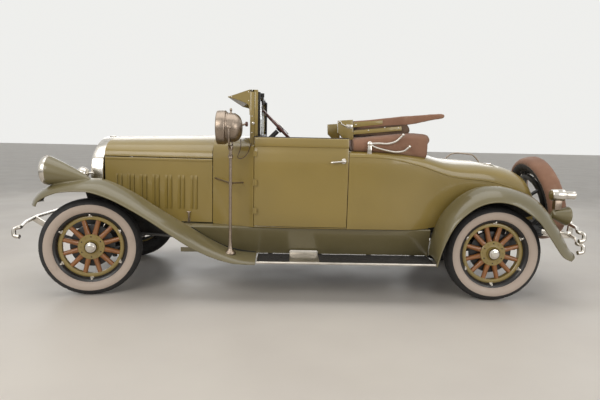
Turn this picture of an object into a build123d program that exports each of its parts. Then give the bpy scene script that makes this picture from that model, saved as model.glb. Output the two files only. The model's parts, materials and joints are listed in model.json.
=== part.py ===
from build123d import *
import math
import os

# A 1920s two-door convertible coupe with a rumble seat, wood-spoked wheels, a folded canvas top and a
# rear-mounted spare.  Millimetres.  +X is forward, +Y is the car's left, +Z is up.  The origin is on
# the ground, in the centre plane, midway between the two axles.

os.makedirs("parts", exist_ok=True)

# Driving dimensions
WHEELBASE = 3505.0
HALF_BASE = WHEELBASE / 2
TYRE_RADIUS = 419.0
HALF_TRACK = 706.0
STEER_AT_REST = 11.4            # degrees to the left, as parked
KINGPIN_Y = 610.0
BODY_BOTTOM = 604.0
HOOD_FRONT, HOOD_REAR = 1722.0, 722.0
DOOR_FRONT, DOOR_REAR = 347.0, -470.0
GAP = 6.0                       # between panels that move apart
WALL = 22.0                     # body panels with their framing
SIDES = ((1, "left"), (-1, "right"))


# Small helpers

def cross_face(x, outline):
    """Closed outline of (y, z) points in the plane X = x."""
    with BuildSketch(Plane(origin=(x, 0, 0), x_dir=(0, 1, 0), z_dir=(1, 0, 0))) as face:
        with BuildLine():
            Polyline(*outline, close=True)
        make_face()
    return face.sketch


def side_face(y, outline):
    """Closed outline of (x, z) points in the plane Y = y."""
    with BuildSketch(Plane(origin=(0, y, 0), x_dir=(1, 0, 0), z_dir=(0, -1, 0))) as face:
        with BuildLine():
            Polyline(*outline, close=True)
        make_face()
    return face.sketch


def plan_face(z, outline):
    """Closed outline of (x, y) points in the plane Z = z."""
    with BuildSketch(Plane.XY.offset(z)) as face:
        with BuildLine():
            Polyline(*outline, close=True)
        make_face()
    return face.sketch


def block(low, high, mode=Mode.ADD):
    """An upright box between two corners."""
    size = [b - a for a, b in zip(low, high)]
    middle = tuple((a + b) / 2 for a, b in zip(low, high))
    with Locations(middle):
        Box(*size, mode=mode)


def rod(start, end, radius, mode=Mode.ADD):
    """A round bar from one point to another."""
    axis = Vector(*end) - Vector(*start)
    with BuildSketch(Plane(origin=start, z_dir=axis)) as round_end:
        Circle(radius)
    extrude(round_end.sketch, amount=axis.length, mode=mode)


def pipe(points, radius, bends):
    """A round tube along straight runs joined by arcs; one bend radius or a list of them."""
    with BuildLine() as path:
        FilletPolyline(*points, radius=bends)
    with BuildSketch(Plane(origin=path.line @ 0, z_dir=path.line % 0)) as section:
        Circle(radius)
    sweep(section.sketch, path=path.line)


def turned_shape(axis, start, outline):
    """A round body about an axis along X through start, from (x, radius) points."""
    with BuildSketch(Plane(origin=start, x_dir=(1, 0, 0), z_dir=(0, -1, 0))) as half:
        with BuildLine():
            Polyline((outline[0][0], 0), *outline, (outline[-1][0], 0), close=True)
        make_face()
    revolve(half.sketch, axis=axis)


def offset_curve(points, distance):
    """Points moved square to the curve, to its right-hand side."""
    moved = []
    for i, (u, v) in enumerate(points):
        before = points[max(i - 1, 0)]
        after = points[min(i + 1, len(points) - 1)]
        du, dv = after[0] - before[0], after[1] - before[1]
        length = math.hypot(du, dv)
        moved.append((u + distance * dv / length, v - distance * du / length))
    return moved


def between(stations, x, column):
    """A value at x from a table whose first column is x, going down."""
    for low, high in zip(stations[1:], stations):
        if low[0] <= x <= high[0]:
            share = (x - low[0]) / (high[0] - low[0])
            return low[column] + share * (high[column] - low[column])
    return stations[0][column] if x > stations[0][0] else stations[-1][column]


def export(piece, label):
    piece.part.label = label
    export_step(piece.part, f"parts/{label}.step")


def turned(point, angle):
    """An (x, y) pair turned about the origin by an angle in degrees."""
    c, s = math.cos(math.radians(angle)), math.sin(math.radians(angle))
    return point[0] * c - point[1] * s, point[0] * s + point[1] * c


# Chassis: two side rails that narrow ahead of the cowl, and the members across them

RAIL_WIDTH = 60.0
RAIL_PLAN = (
    # x, inner face y
    (2255.0, 290.0), (860.0, 290.0), (400.0, 370.0), (-2330.0, 370.0),
)
RAIL_SIDE_VIEW = [(2255, 480), (2255, 540), (2130, 540), (1990, 588), (1500, 596), (-1250, 596),
                  (-1450, 640), (-2050, 640), (-2120, 625), (-2240, 625), (-2330, 590), (-2330, 520),
                  (-2240, 565), (-2120, 565), (-2050, 560), (-1450, 560), (-1250, 480), (700, 455),
                  (1500, 475), (1990, 505), (2130, 480)]
CROSS_MEMBERS = (
    # x, top, depth
    (1880, 590, 40), (1560, 519.7, 40), (900, 519.7, 40), (380, 596, 40), (-500, 596, 40),
    (-1250, 596, 40), (-2000, 636, 40), (-2310, 570, 40),
)
SPRING_Y_FRONT, SPRING_Y_REAR = 320.0, 472.0
SPRINGS = (
    # centre x, y, half length, height over the axle, height at the eyes
    (HALF_BASE, SPRING_Y_FRONT, 440.0, 372.0, 448.0),
    (-HALF_BASE, SPRING_Y_REAR, 560.0, 508.0, 556.0),
)
SPRING_WIDTH = 50.0
TIE_DOWNS = ((2230.0, 320.0), (-2180.0, 400.0))
TIE_DOWN_RADIUS = 11.0

with BuildPart() as rails_frame:
    for side, _ in SIDES:
        whole = side_face(side * 280, RAIL_SIDE_VIEW)
        extrude(whole, amount=160, dir=(0, side, 0))
    inner = [(x, y) for x, y in RAIL_PLAN]
    outer = [(x, y + RAIL_WIDTH) for x, y in RAIL_PLAN[::-1]]
    with BuildSketch(Plane.XY.offset(400)) as plans:
        for side, _ in SIDES:
            with BuildLine():
                Polyline(*[(x, side * y) for x, y in inner + outer], close=True)
            make_face()
    extrude(plans.sketch, amount=300, mode=Mode.INTERSECT)
    for centre, y, half, low, eye in SPRINGS:
        for side, _ in SIDES:
            for x in (centre - half, centre + half):
                if centre > 0:
                    block((x - 14, side * y - 20, eye + 0.3), (x + 14, side * y + 20, eye + 50))
                else:
                    rod((x, side * 420, eye - 22), (x, side * (y - 28.3), eye - 22), 16)
    for x, y in TIE_DOWNS:
        for side, _ in SIDES:
            rod((x, side * y, 400), (x, side * y, 700), TIE_DOWN_RADIUS, mode=Mode.SUBTRACT)
export(rails_frame, "frame_rails")

with BuildPart() as members:
    for x, top, depth in CROSS_MEMBERS:
        reach = between(RAIL_PLAN, x, 1)
        block((x - 20, -reach, top - depth), (x + 20, reach, top))
export(members, "cross_members")

# Leaf springs: four flat bows, one over each end of each axle

with BuildPart() as springs:
    for centre, y, half, low, eye in SPRINGS:
        for side, _ in SIDES:
            steps = [i / 6 for i in range(-6, 7)]
            top = [(centre + half * t, low + (eye - low) * t * t) for t in steps]
            bottom = [(x, z - 44 + 30 * abs(t)) for (x, z), t in zip(top, steps)]
            bow = side_face(side * (y - SPRING_WIDTH / 2), top + bottom[::-1])
            extrude(bow, amount=SPRING_WIDTH, dir=(0, side, 0))
export(springs, "leaf_springs")

# Axles

with BuildPart() as front_axle:
    half = [(0, 326), (510, 326), (KINGPIN_Y - 50, 440), (KINGPIN_Y, 462), (KINGPIN_Y, 376),
            (KINGPIN_Y - 34, 376), (510, 262), (0, 262)]
    extrude(cross_face(HALF_BASE - 26, half + [(-y, z) for y, z in half[-2:0:-1]]), amount=52)
    for side, _ in SIDES:
        rod((HALF_BASE, side * KINGPIN_Y, 372), (HALF_BASE, side * KINGPIN_Y, 466), 32)
        rod((HALF_BASE, side * KINGPIN_Y, 330), (HALF_BASE, side * KINGPIN_Y, 480), 12.0,
            mode=Mode.SUBTRACT)
export(front_axle, "front_axle")

REAR_TUBE_END = HALF_TRACK - 36
BACKING_Y = HALF_TRACK - 78

with BuildPart() as rear_axle:
    rod((-HALF_BASE, -REAR_TUBE_END, TYRE_RADIUS), (-HALF_BASE, REAR_TUBE_END, TYRE_RADIUS), 44)
    with Locations((-HALF_BASE, 0, TYRE_RADIUS)):
        Sphere(150)
    rod((-HALF_BASE, 0, TYRE_RADIUS), (-HALF_BASE + 230, 0, TYRE_RADIUS + 8), 62)
    for side, _ in SIDES:
        rod((-HALF_BASE, side * BACKING_Y, TYRE_RADIUS), (-HALF_BASE, side * (BACKING_Y + 8), TYRE_RADIUS), 150)
        block((-HALF_BASE - 60, side * SPRING_Y_REAR - 26, TYRE_RADIUS),
              (-HALF_BASE + 60, side * SPRING_Y_REAR + 26, 463.7))
export(rear_axle, "rear_axle")

# Steering knuckles, tie rod, drag link and pitman arm

TIE_ARM = (-172.0, 0.0)
DRAG_ARM = 225.0
TIE_Z = 340.0
DRAG_Z = 512.0
SPINDLE_RADIUS = 22.0


def at_knuckle(side, offset, z):
    """A point fixed to a knuckle, given from its kingpin with the wheel straight ahead."""
    dx, dy = turned(offset, STEER_AT_REST)
    return HALF_BASE + dx, side * KINGPIN_Y + dy, z


for side, word in SIDES:
    with BuildPart() as knuckle:
        for low, high in ((334, 371.5), (466.5, 496)):
            rod((HALF_BASE, side * KINGPIN_Y, low), (HALF_BASE, side * KINGPIN_Y, high), 30)
        rod((HALF_BASE, side * KINGPIN_Y, 336), (HALF_BASE, side * KINGPIN_Y, 494), 11.9)
        yoke = Plane(origin=at_knuckle(side, (0, 0), 415), x_dir=turned((1, 0), STEER_AT_REST) + (0,),
                     z_dir=(0, 0, 1))
        with BuildPart(yoke, mode=Mode.PRIVATE) as yoke_block:
            with Locations((0, side * 45, 0)):
                Box(56, 22, 158)
        add(yoke_block.part)
        for z in (352.5, 481.5):
            rod(at_knuckle(side, (0, 0), z), at_knuckle(side, (0, side * 48), z), 13)
        rod(at_knuckle(side, (0, side * 45), TYRE_RADIUS), at_knuckle(side, (0, side * 112), TYRE_RADIUS),
            SPINDLE_RADIUS)
        rod(at_knuckle(side, (0, side * 34), TIE_Z + 8), at_knuckle(side, TIE_ARM, TIE_Z + 8), 12)
        rod(at_knuckle(side, TIE_ARM, TIE_Z - 6), at_knuckle(side, TIE_ARM, TIE_Z + 20), 18)
        if side > 0:
            rod(at_knuckle(side, (0, 0), 496), at_knuckle(side, (0, 0), DRAG_Z + 24), 20)
            rod(at_knuckle(side, (0, 0), DRAG_Z + 14), at_knuckle(side, (0, -DRAG_ARM), DRAG_Z + 14), 12)
            rod(at_knuckle(side, (0, -DRAG_ARM), DRAG_Z + 2),
                at_knuckle(side, (0, -DRAG_ARM), DRAG_Z + 28), 16)
    export(knuckle, f"knuckle_{word}")

with BuildPart() as tie_rod:
    ends = [at_knuckle(side, TIE_ARM, TIE_Z - 22) for side, _ in SIDES]
    rod(ends[0], ends[1], 13)
    for end in ends:
        rod((end[0], end[1], TIE_Z - 38), (end[0], end[1], TIE_Z - 7), 20)
export(tie_rod, "tie_rod")

PITMAN_X, PITMAN_Z = 1008.0, 640.0
PITMAN_HUB_Y = 358.0
PITMAN_LENGTH = 190.0
PITMAN_RATIO = DRAG_ARM / PITMAN_LENGTH
pitman_swing = math.radians(STEER_AT_REST * PITMAN_RATIO)
PITMAN_BALL = (PITMAN_X + PITMAN_LENGTH * math.sin(pitman_swing), 0,
               PITMAN_Z - PITMAN_LENGTH * math.cos(pitman_swing))
LINK_REAR_Y = 403.0
DRAG_FRONT = at_knuckle(1, (0, -DRAG_ARM), DRAG_Z - 14)

with BuildPart() as drag_link:
    rear = (PITMAN_BALL[0], LINK_REAR_Y, PITMAN_BALL[2])
    rod(DRAG_FRONT, rear, 12)
    rod((DRAG_FRONT[0], DRAG_FRONT[1], DRAG_Z - 30), (DRAG_FRONT[0], DRAG_FRONT[1], DRAG_Z), 18)
    rod((rear[0], LINK_REAR_Y - 14, rear[2]), (rear[0], LINK_REAR_Y + 14, rear[2]), 18)
export(drag_link, "drag_link")

with BuildPart() as pitman:
    rod((PITMAN_X, PITMAN_HUB_Y, PITMAN_Z), (PITMAN_X, PITMAN_HUB_Y + 22, PITMAN_Z), 26)
    middle = PITMAN_HUB_Y + 11
    rod((PITMAN_X, middle, PITMAN_Z), (PITMAN_BALL[0], middle, PITMAN_BALL[2]), 9)
    rod((PITMAN_BALL[0], PITMAN_HUB_Y, PITMAN_BALL[2]), (PITMAN_BALL[0], PITMAN_HUB_Y + 24, PITMAN_BALL[2]), 16)
export(pitman, "pitman_arm")

# Engine block, drive shaft, exhaust and fuel tank

with BuildPart() as engine:
    block((820, -205, 520), (1640, 205, 1080))
    block((470, -150, 470), (820, 150, 800))
export(engine, "engine_block")

with BuildPart() as shaft:
    rod((466, 0, 512), (-HALF_BASE + 234, 0, 428), 36)
export(shaft, "drive_shaft")

EXHAUST_Y = -242.0
MUFFLER = (150.0, -560.0)       # front and rear end

with BuildPart() as exhaust:
    pipe([(1500, EXHAUST_Y, 700), (1180, EXHAUST_Y, 430), (700, EXHAUST_Y, 400),
          (MUFFLER[0], EXHAUST_Y, 400)], 27, 120)
    rod((MUFFLER[0], EXHAUST_Y, 400), (MUFFLER[1], EXHAUST_Y, 400), 82)
    pipe([(MUFFLER[1], EXHAUST_Y, 400), (-1120, EXHAUST_Y, 402), (-1440, EXHAUST_Y, 508),
          (-2080, EXHAUST_Y, 508), (-2380, EXHAUST_Y, 430)], 22, 160)
export(exhaust, "exhaust")

with BuildPart() as tank:
    rod((-2160, -205, 470), (-2160, 205, 470), 138)
export(tank, "fuel_tank")

# Wheels: rim, felloe, twelve wooden spokes, hub and cap, with the tyre as its own solid

RIM_RADIUS = 292.0
RIM_BORE = 262.0
FELLOE_OUTER, FELLOE_INNER = 268.0, 236.0
SPOKES = 12
HUB_RADIUS = 74.0
FLANGE_RADIUS = 109.0
CAP_RADIUS = 45.0
DRUM_RADIUS = 184.0
TYRE_HALF_SECTION = [
    # (distance from the axle, half width)
    (RIM_RADIUS, 44), (300, 60), (322, 78), (350, 84), (378, 80), (402, 66), (414, 48),
    (TYRE_RADIUS, 24),
]


def wheel_plane(x, y, z, turn):
    """Local x along the axle pointing outboard to the car's left, local y up."""
    ahead = turned((0, 1), turn)
    return Plane(origin=(x, y, z), x_dir=(ahead[0], ahead[1], 0), z_dir=(ahead[1], -ahead[0], 0))


def spin_axis(x, y, z, turn):
    ahead = turned((0, 1), turn)
    return Axis((x, y, z), (ahead[0], ahead[1], 0))


def add_tyre(plane, axis):
    outline = [(w, r) for r, w in TYRE_HALF_SECTION] + [(-w, r) for r, w in TYRE_HALF_SECTION[::-1]]
    with BuildSketch(plane) as section:
        with BuildLine():
            Polyline(*outline, close=True)
        make_face()
    revolve(section.sketch, axis=axis)


def ring(plane, axis, inner, outer, low, high, mode=Mode.ADD):
    with BuildSketch(plane) as section:
        with BuildLine():
            Polyline((low, inner), (high, inner), (high, outer), (low, outer), close=True)
        make_face()
    revolve(section.sketch, axis=axis, mode=mode)


def add_wheel(plane, axis, out):
    """Rim, felloe, spokes and hub; offsets along the axle are from the wheel's centre plane."""
    ring(plane, axis, RIM_BORE, RIM_RADIUS - 0.4, -52, 52)
    ring(plane, axis, FELLOE_INNER, FELLOE_OUTER, -26, 26)
    hub_steps = (
        # inner radius, outer radius, offsets outboard
        (0, HUB_RADIUS, -34, 26), (0, FLANGE_RADIUS, 20, 32), (0, CAP_RADIUS, 30, 62),
        (0, CAP_RADIUS - 11, 60, 76), (0, DRUM_RADIUS, -34, -24), (DRUM_RADIUS - 12, DRUM_RADIUS, -68, -24),
    )
    for inner, outer, low, high in hub_steps:
        ring(plane, axis, inner, outer, *sorted((out * low, out * high)))
    direction = plane.x_dir
    for i in range(SPOKES):
        angle = math.radians(i * 360 / SPOKES + 15)
        up = plane.y_dir * math.cos(angle) + plane.z_dir * math.sin(angle)
        start = plane.origin + up * (HUB_RADIUS - 12)
        end = plane.origin + up * (FELLOE_INNER + 8)
        with BuildSketch(Plane(origin=start, x_dir=direction, z_dir=(end - start))) as root:
            Rectangle(44, 40)
        with BuildSketch(Plane(origin=end, x_dir=direction, z_dir=(end - start))) as tip:
            Rectangle(38, 37)
        loft([root.sketch, tip.sketch])
    ring(plane, axis, 0, SPINDLE_RADIUS + 0.4, *sorted((out * -36, out * 18)), mode=Mode.SUBTRACT)


SCRUB = HALF_TRACK - KINGPIN_Y
WHEELS = (
    # place, x of the axle, turn
    ("front", HALF_BASE, STEER_AT_REST),
    ("rear", -HALF_BASE, 0.0),
)

for place, x, turn in WHEELS:
    for side, word in SIDES:
        dx, dy = turned((0, side * SCRUB), turn)
        centre = (x + dx, side * KINGPIN_Y + dy, TYRE_RADIUS)
        plane, axis = wheel_plane(*centre, turn), spin_axis(*centre, turn)
        with BuildPart() as tyre:
            add_tyre(plane, axis)
        export(tyre, f"tyre_{place}_{word}")
        with BuildPart() as wheel:
            add_wheel(plane, axis, side)
        export(wheel, f"wheel_{place}_{word}")

# Body sections.  Each is half of a symmetric outline: straight side, curved shoulder, crowned top.

SHOULDER_STEPS = 5


def body_outline(sill, belt, belt_z, crown_z, floor_z, power=2.6, inset=0.0):
    """Outline of (y, z) points, left sill up over the top and down to the right sill."""
    belt, sill, crown_z, floor_z = belt - inset, sill - inset, crown_z - inset, floor_z + inset
    half = [(sill, floor_z), (belt, belt_z)]
    for i in range(1, SHOULDER_STEPS):
        a = math.radians(90 * i / SHOULDER_STEPS)
        y = belt * math.cos(a) ** (2 / power)
        z = belt_z + (crown_z - belt_z) * math.sin(a) ** (2 / power)
        half.append((y, z))
    return half + [(0, crown_z)] + [(-y, z) for y, z in half[::-1]]


# Hood: centre-hinged tops, and side panels hinged along the shoulder

HINGE_Z = 1185.0
HOOD_STATIONS = (
    # x, half width at the bottom, half width at the shoulder, crown z
    (HOOD_FRONT - GAP, 405.0, 398.0, 1354.0),
    (HOOD_REAR + GAP, 508.0, 500.0, 1386.0),
)
HOOD_SKIN = 6.0
HOOD_BOTTOM = 612.0
HOOD_TOP_STEPS = 7
HOOD_POWER = 2.3
LOUVRE_PAIRS = (1593.0, 1478.0, 1363.0, 1248.0, 1132.0, 1015.0, 899.0)      # x of each pair's middle
LOUVRE_PITCH = 40.0
LOUVRE_LENGTH = 28.0
LOUVRE_PROUD = 9.0
LOUVRE_LOW, LOUVRE_HIGH = 726.0, 1026.0


def hood_top_curve(shoulder, crown_z, inset):
    """Half of the hood's arch, from the centre hinge to the shoulder."""
    points = []
    for i in range(HOOD_TOP_STEPS + 1):
        a = math.radians(90 * i / HOOD_TOP_STEPS)
        y = (shoulder - inset) * math.sin(a) ** (2 / HOOD_POWER)
        z = HINGE_Z + (crown_z - inset - HINGE_Z) * max(math.cos(a), 0) ** (2 / HOOD_POWER)
        points.append((y, z))
    points[0] = (2.5, points[0][1])
    points[-1] = (points[-1][0], HINGE_Z + GAP / 2)
    return points


for side, word in SIDES:
    with BuildPart() as hood_top:
        faces = []
        for x, bottom, shoulder, crown_z in HOOD_STATIONS:
            arch = hood_top_curve(shoulder, crown_z, 0) + hood_top_curve(shoulder, crown_z, HOOD_SKIN)[::-1]
            faces.append(cross_face(x, [(side * y, z) for y, z in arch]))
        loft(faces, ruled=True)
    export(hood_top, f"hood_top_{word}")
    with BuildPart() as hood_side:
        faces = []
        for x, bottom, shoulder, crown_z in HOOD_STATIONS:
            edge = HINGE_Z - GAP / 2
            panel = [(shoulder, edge), (bottom, HOOD_BOTTOM),
                     (bottom - HOOD_SKIN, HOOD_BOTTOM), (shoulder - HOOD_SKIN, edge)]
            faces.append(cross_face(x, [(side * y, z) for y, z in panel]))
        loft(faces, ruled=True)
        for pair in LOUVRE_PAIRS:
            for x in (pair - LOUVRE_PITCH / 2, pair + LOUVRE_PITCH / 2):
                front, rear = x + LOUVRE_LENGTH / 2, x - LOUVRE_LENGTH / 2
                low_face, high_face = (plan_face(z, [
                    (front, side * (between(HOOD_STATIONS, front, column) - 2)),
                    (rear, side * (between(HOOD_STATIONS, rear, column) - 2)),
                    (rear, side * (between(HOOD_STATIONS, rear, column) + proud)),
                ]) for z, column, proud in ((LOUVRE_LOW, 1, LOUVRE_PROUD - 2), (LOUVRE_HIGH, 2, LOUVRE_PROUD)))
                loft([low_face, high_face], ruled=True)
    export(hood_side, f"hood_side_{word}")

# Radiator: bright shell and core

SHELL_REAR, SHELL_FRONT = 1724.0, 1832.0
CORE_REAR, CORE_FRONT = 1745.0, 1807.0
CAP_X = 1776.0
SHELL_OUTLINE = [(405, 602), (433, 900), (433, 1050), (411, 1147), (386, 1190), (324, 1243),
                 (237, 1297), (109, 1343), (0, 1360)]
CORE_OUTLINE = [(345, 640), (372, 900), (372, 1040), (345, 1130), (290, 1190), (200, 1240),
                (100, 1268), (0, 1276)]
FIT = 0.4


def both_halves(half):
    return half + [(-y, z) for y, z in half[::-1] if y > 0]


with BuildPart() as shell:
    extrude(cross_face(SHELL_REAR, both_halves(SHELL_OUTLINE)), amount=SHELL_FRONT - SHELL_REAR)
    bore = cross_face(SHELL_REAR - 12, both_halves(CORE_OUTLINE))
    extrude(bore, amount=SHELL_FRONT - SHELL_REAR + 24, mode=Mode.SUBTRACT)
    rod((CAP_X, 0, 1345), (CAP_X, 0, 1367), 34)
export(shell, "radiator_shell")

with BuildPart() as core:
    core_half = [(y - FIT if y > 0 else y, z - FIT if z > 700 else z + FIT) for y, z in CORE_OUTLINE]
    extrude(cross_face(CORE_REAR, both_halves(core_half)), amount=CORE_FRONT - CORE_REAR)
export(core, "radiator_core")

# Steering column line, from the wheel's hub down to the box on the frame

WHEEL_HUB = (132.0, 345.0, 1466.0)
RAKE = (math.sqrt(0.5), 0.0, -math.sqrt(0.5))
STEERING_RADIUS = 218.0


def down_column(distance):
    return tuple(a + b * distance for a, b in zip(WHEEL_HUB, RAKE))


# Cowl: from the hood's rear edge to the door's front edge, open to the cabin

COWL_STATIONS = (
    # x, half width at the sill, half width at the belt, belt z, crown z
    (HOOD_REAR, 508.0, 500.0, 1186.0, 1386.0),
    (560.0, 580.0, 590.0, 1210.0, 1392.0),
    (DOOR_FRONT, 668.0, 690.0, 1236.0, 1396.0),
)
COWL_POWER = 3.2
FIREWALL = 30.0

with BuildPart() as cowl:
    faces = [cross_face(x, body_outline(sill, belt, belt_z, crown, BODY_BOTTOM, COWL_POWER))
             for x, sill, belt, belt_z, crown in COWL_STATIONS]
    loft(faces, ruled=True)
    inside = [(HOOD_REAR - FIREWALL,) + COWL_STATIONS[0][1:], COWL_STATIONS[1],
              (DOOR_FRONT - 1,) + COWL_STATIONS[2][1:]]
    faces = [cross_face(x, body_outline(sill, belt, belt_z, crown, BODY_BOTTOM - 80, COWL_POWER, WALL))
             for x, sill, belt, belt_z, crown in inside]
    loft(faces, ruled=True, mode=Mode.SUBTRACT)
    block((680, -165, 460), (730, 165, 815), mode=Mode.SUBTRACT)
    rod(down_column(600), down_column(1100), 26, mode=Mode.SUBTRACT)
export(cowl, "cowl")

# Doors, front-hinged, each with a raised moulding along its top and a handle

DOOR_BOTTOM, DOOR_TOP = 616.0, 1385.0
DOOR_THICK = 46.0
MOULDING_Z = 1310.0
MOULDING_PROUD = 10.0
DOOR_STATIONS = (
    # x, outer half width at the bottom, at the belt, under the moulding, at the top
    (DOOR_FRONT - GAP, 669.0, 692.0, 680.0, 676.0),
    (0.0, 692.0, 716.0, 705.0, 700.0),
    (DOOR_REAR + GAP, 697.0, 722.0, 710.0, 704.0),
)
DOOR_BELT_Z = 1236.0
HANDLE_X, HANDLE_Z = -395.0, 1196.0
HINGE_X, HINGE_Y, HINGE_RADIUS = 344.0, 702.0, 8.0
DOOR_HINGES = ((1219.0, 1268.0), (970.0, 1024.0), (726.0, 777.0))           # low and high z

for side, word in SIDES:
    with BuildPart() as door:
        faces = []
        for x, low, belt, under, top in DOOR_STATIONS:
            outline = [(low, DOOR_BOTTOM), (belt, DOOR_BELT_Z), (under, MOULDING_Z - 4),
                       (under + MOULDING_PROUD, MOULDING_Z + 6), (top + MOULDING_PROUD, DOOR_TOP - 14),
                       (top, DOOR_TOP), (top - DOOR_THICK, DOOR_TOP), (belt - DOOR_THICK, DOOR_BELT_Z),
                       (low - DOOR_THICK, DOOR_BOTTOM)]
            faces.append(cross_face(x, [(side * y, z) for y, z in outline]))
        loft(faces, ruled=True)
        for bottom, top in DOOR_HINGES:
            rod((HINGE_X, side * HINGE_Y, bottom), (HINGE_X, side * HINGE_Y, top), HINGE_RADIUS)
            low, high = sorted((side * 660, side * (HINGE_Y + 4)))
            block((HINGE_X - 30, low, bottom + 2), (HINGE_X - 4, high, top - 2))
        rod((HANDLE_X, side * 700, HANDLE_Z), (HANDLE_X, side * 745, HANDLE_Z), 10)
        rod((HANDLE_X - 30, side * 745, HANDLE_Z), (HANDLE_X + 84, side * 745, HANDLE_Z - 12), 8)
    export(door, f"door_{word}")

# Rear body: quarters, deck and tail in one hollow shell with the sills and floor

REAR_STATIONS = (
    # x, half width at the sill, half width at the belt, belt z, crown z, floor z
    (DOOR_REAR, 699.0, 723.0, 1240.0, 1302.0, 604.0),
    (-800.0, 690.0, 712.0, 1230.0, 1300.0, 604.0),
    (-1100.0, 655.0, 676.0, 1170.0, 1288.0, 604.0),
    (-1400.0, 590.0, 610.0, 1080.0, 1220.0, 640.0),
    (-1752.0, 530.0, 550.0, 1040.0, 1197.0, 660.0),
    (-2000.0, 460.0, 478.0, 980.0, 1152.0, 660.0),
    (-2180.0, 380.0, 392.0, 900.0, 1070.0, 660.0),
    (-2300.0, 300.0, 300.0, 800.0, 905.0, 660.0),
)
BODY_POWER = 3.0
CABIN_REAR = -1010.0
RUMBLE_FRONT, RUMBLE_REAR = -1285.0, -1880.0
RUMBLE_HALF = 375.0

with BuildPart() as body_form:
    loft([cross_face(x, body_outline(sill, belt, belt_z, crown, floor, BODY_POWER))
          for x, sill, belt, belt_z, crown, floor in REAR_STATIONS], ruled=True)

with BuildPart() as body:
    add(body_form.part)
    ends = {DOOR_REAR: DOOR_REAR + 2, REAR_STATIONS[-1][0]: REAR_STATIONS[-1][0] + WALL}
    loft([cross_face(ends.get(x, x), body_outline(sill, belt, belt_z, crown, floor, BODY_POWER, WALL))
          for x, sill, belt, belt_z, crown, floor in REAR_STATIONS], ruled=True, mode=Mode.SUBTRACT)
    block((CABIN_REAR, -640, 1150), (DOOR_REAR + 30, 640, 1400), mode=Mode.SUBTRACT)
    block((RUMBLE_REAR, -RUMBLE_HALF, 1050), (RUMBLE_FRONT, RUMBLE_HALF, 1400), mode=Mode.SUBTRACT)
    for side, _ in SIDES:
        sill = [(DOOR_FRONT - 0.3, 600), (DOOR_FRONT - 0.3, 664), (0, 688), (DOOR_REAR - 1, 695),
                (DOOR_REAR - 1, 600)]
        extrude(plan_face(BODY_BOTTOM, [(x, side * y) for x, y in sill]), amount=6, dir=(0, 0, 1))
    block((DOOR_REAR - 1, -610, BODY_BOTTOM), (DOOR_FRONT - 0.3, 610, BODY_BOTTOM + WALL))
export(body, "body_rear")

# Rumble lid, hinged at its rear edge

LID_GAP = 5.0
LID_STATIONS = [(RUMBLE_FRONT - LID_GAP, 1246.0), (-1400.0, 1219.0), (-1640.0, 1203.0),
                (-1752.0, 1196.0), (RUMBLE_REAR + LID_GAP, 1173.0)]

with BuildPart() as lid:
    faces = []
    for x, crown in LID_STATIONS:
        top = [((RUMBLE_HALF - LID_GAP) * t / 4, crown - 0.5 - 17 * (t / 4) ** 2) for t in range(-4, 5)]
        faces.append(cross_face(x, top + [(y, z - 20) for y, z in top[::-1]]))
    loft(faces, ruled=True)
export(lid, "rumble_lid")

# Fenders.  The crown line and the outer edge share their stations, front to rear.

FRONT_FENDER = (
    # crown x, crown z, edge x, edge z, share of the inner edge's drop
    (2186, 800, 2098, 792, 0.1), (2160, 862, 2076, 832, 0.25), (2086, 931, 2020, 868, 0.6),
    (1960, 975, 1935, 901, 0.9), (1834, 997, 1849, 913, 1), (1709, 1008, 1760, 917, 1),
    (1593, 996, 1649, 910, 1), (1461, 943, 1491, 857, 1), (1337, 877, 1331, 775, 1), (1213, 797, 1171, 680, 1),
    (1046, 695, 1010, 572, 1), (877, 594, 847, 470, 1), (750, 518, 683, 394, 1), (622, 451, 517, 345, 0.9),
    (494, 402, 410, 336, 0.7), (310, 380, 310, 334, 0.4),
)
REAR_FENDER = (
    # the same columns
    (-1222, 380, -1214, 334, 0.4), (-1224, 500, -1240, 440, 1), (-1248, 619, -1276, 543, 1),
    (-1302, 752, -1328, 654, 1), (-1390, 866, -1397, 747, 1), (-1498, 951, -1500, 833, 1),
    (-1624, 1001, -1608, 880, 1), (-1771, 1008, -1725, 892, 1), (-1903, 984, -1846, 866, 1),
    (-2024, 944, -1955, 807, 1), (-2115, 888, -2052, 733, 1), (-2202, 802, -2114, 657, 1),
    (-2268, 714, -2186, 559, 0.9), (-2337, 602, -2266, 452, 0.7), (-2390, 506, -2312, 420, 0.5),
    (-2440, 440, -2352, 405, 0.3),
)
FENDER_SKIN = 6.0
FENDER_BANDS = (
    # y, share of the way from the crown to the outer edge, drop below that
    (600.0, 0.0, 58.0),
    (645.0, 0.0, 18.0),
    (720.0, 0.0, 0.0),
    (800.0, 0.16, 0.0),
    (870.0, 0.50, 0.0),
    (912.0, 1.0, 0.0),
)
INNER_EDGE_Y, _, INNER_EDGE_DROP = FENDER_BANDS[0]
FRONT_VALANCE = (1834.0, 1709.0, 1593.0, 1461.0, 1337.0, 1213.0, 1060.0, 1002.0)
REAR_VALANCE = (-1800.0, -1903.0, -2024.0, -2115.0, -2202.0, -2214.0)
VALANCE_SKIN = 8.0
LAMP_Y, LAMP_Z, LAMP_X = 745.0, 1070.0, 2047.0
LAMP_RADIUS = 120.0
LAMP_DEPTH = 40.0
POD_TIP = (1715.0, 992.0, 24.0)         # x, z, radius
POST_X, POST_Y = 530.0, 800.0


def fender_curve(stations, share, drop):
    return [(cx + (ex - cx) * share, cz + (ez - cz) * share - drop * rolled)
            for cx, cz, ex, ez, rolled in stations]


def fender_skin(stations, side):
    return [side_face(side * y, curve + offset_curve(curve, -FENDER_SKIN)[::-1])
            for y, share, drop in FENDER_BANDS for curve in [fender_curve(stations, share, drop)]]


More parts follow.
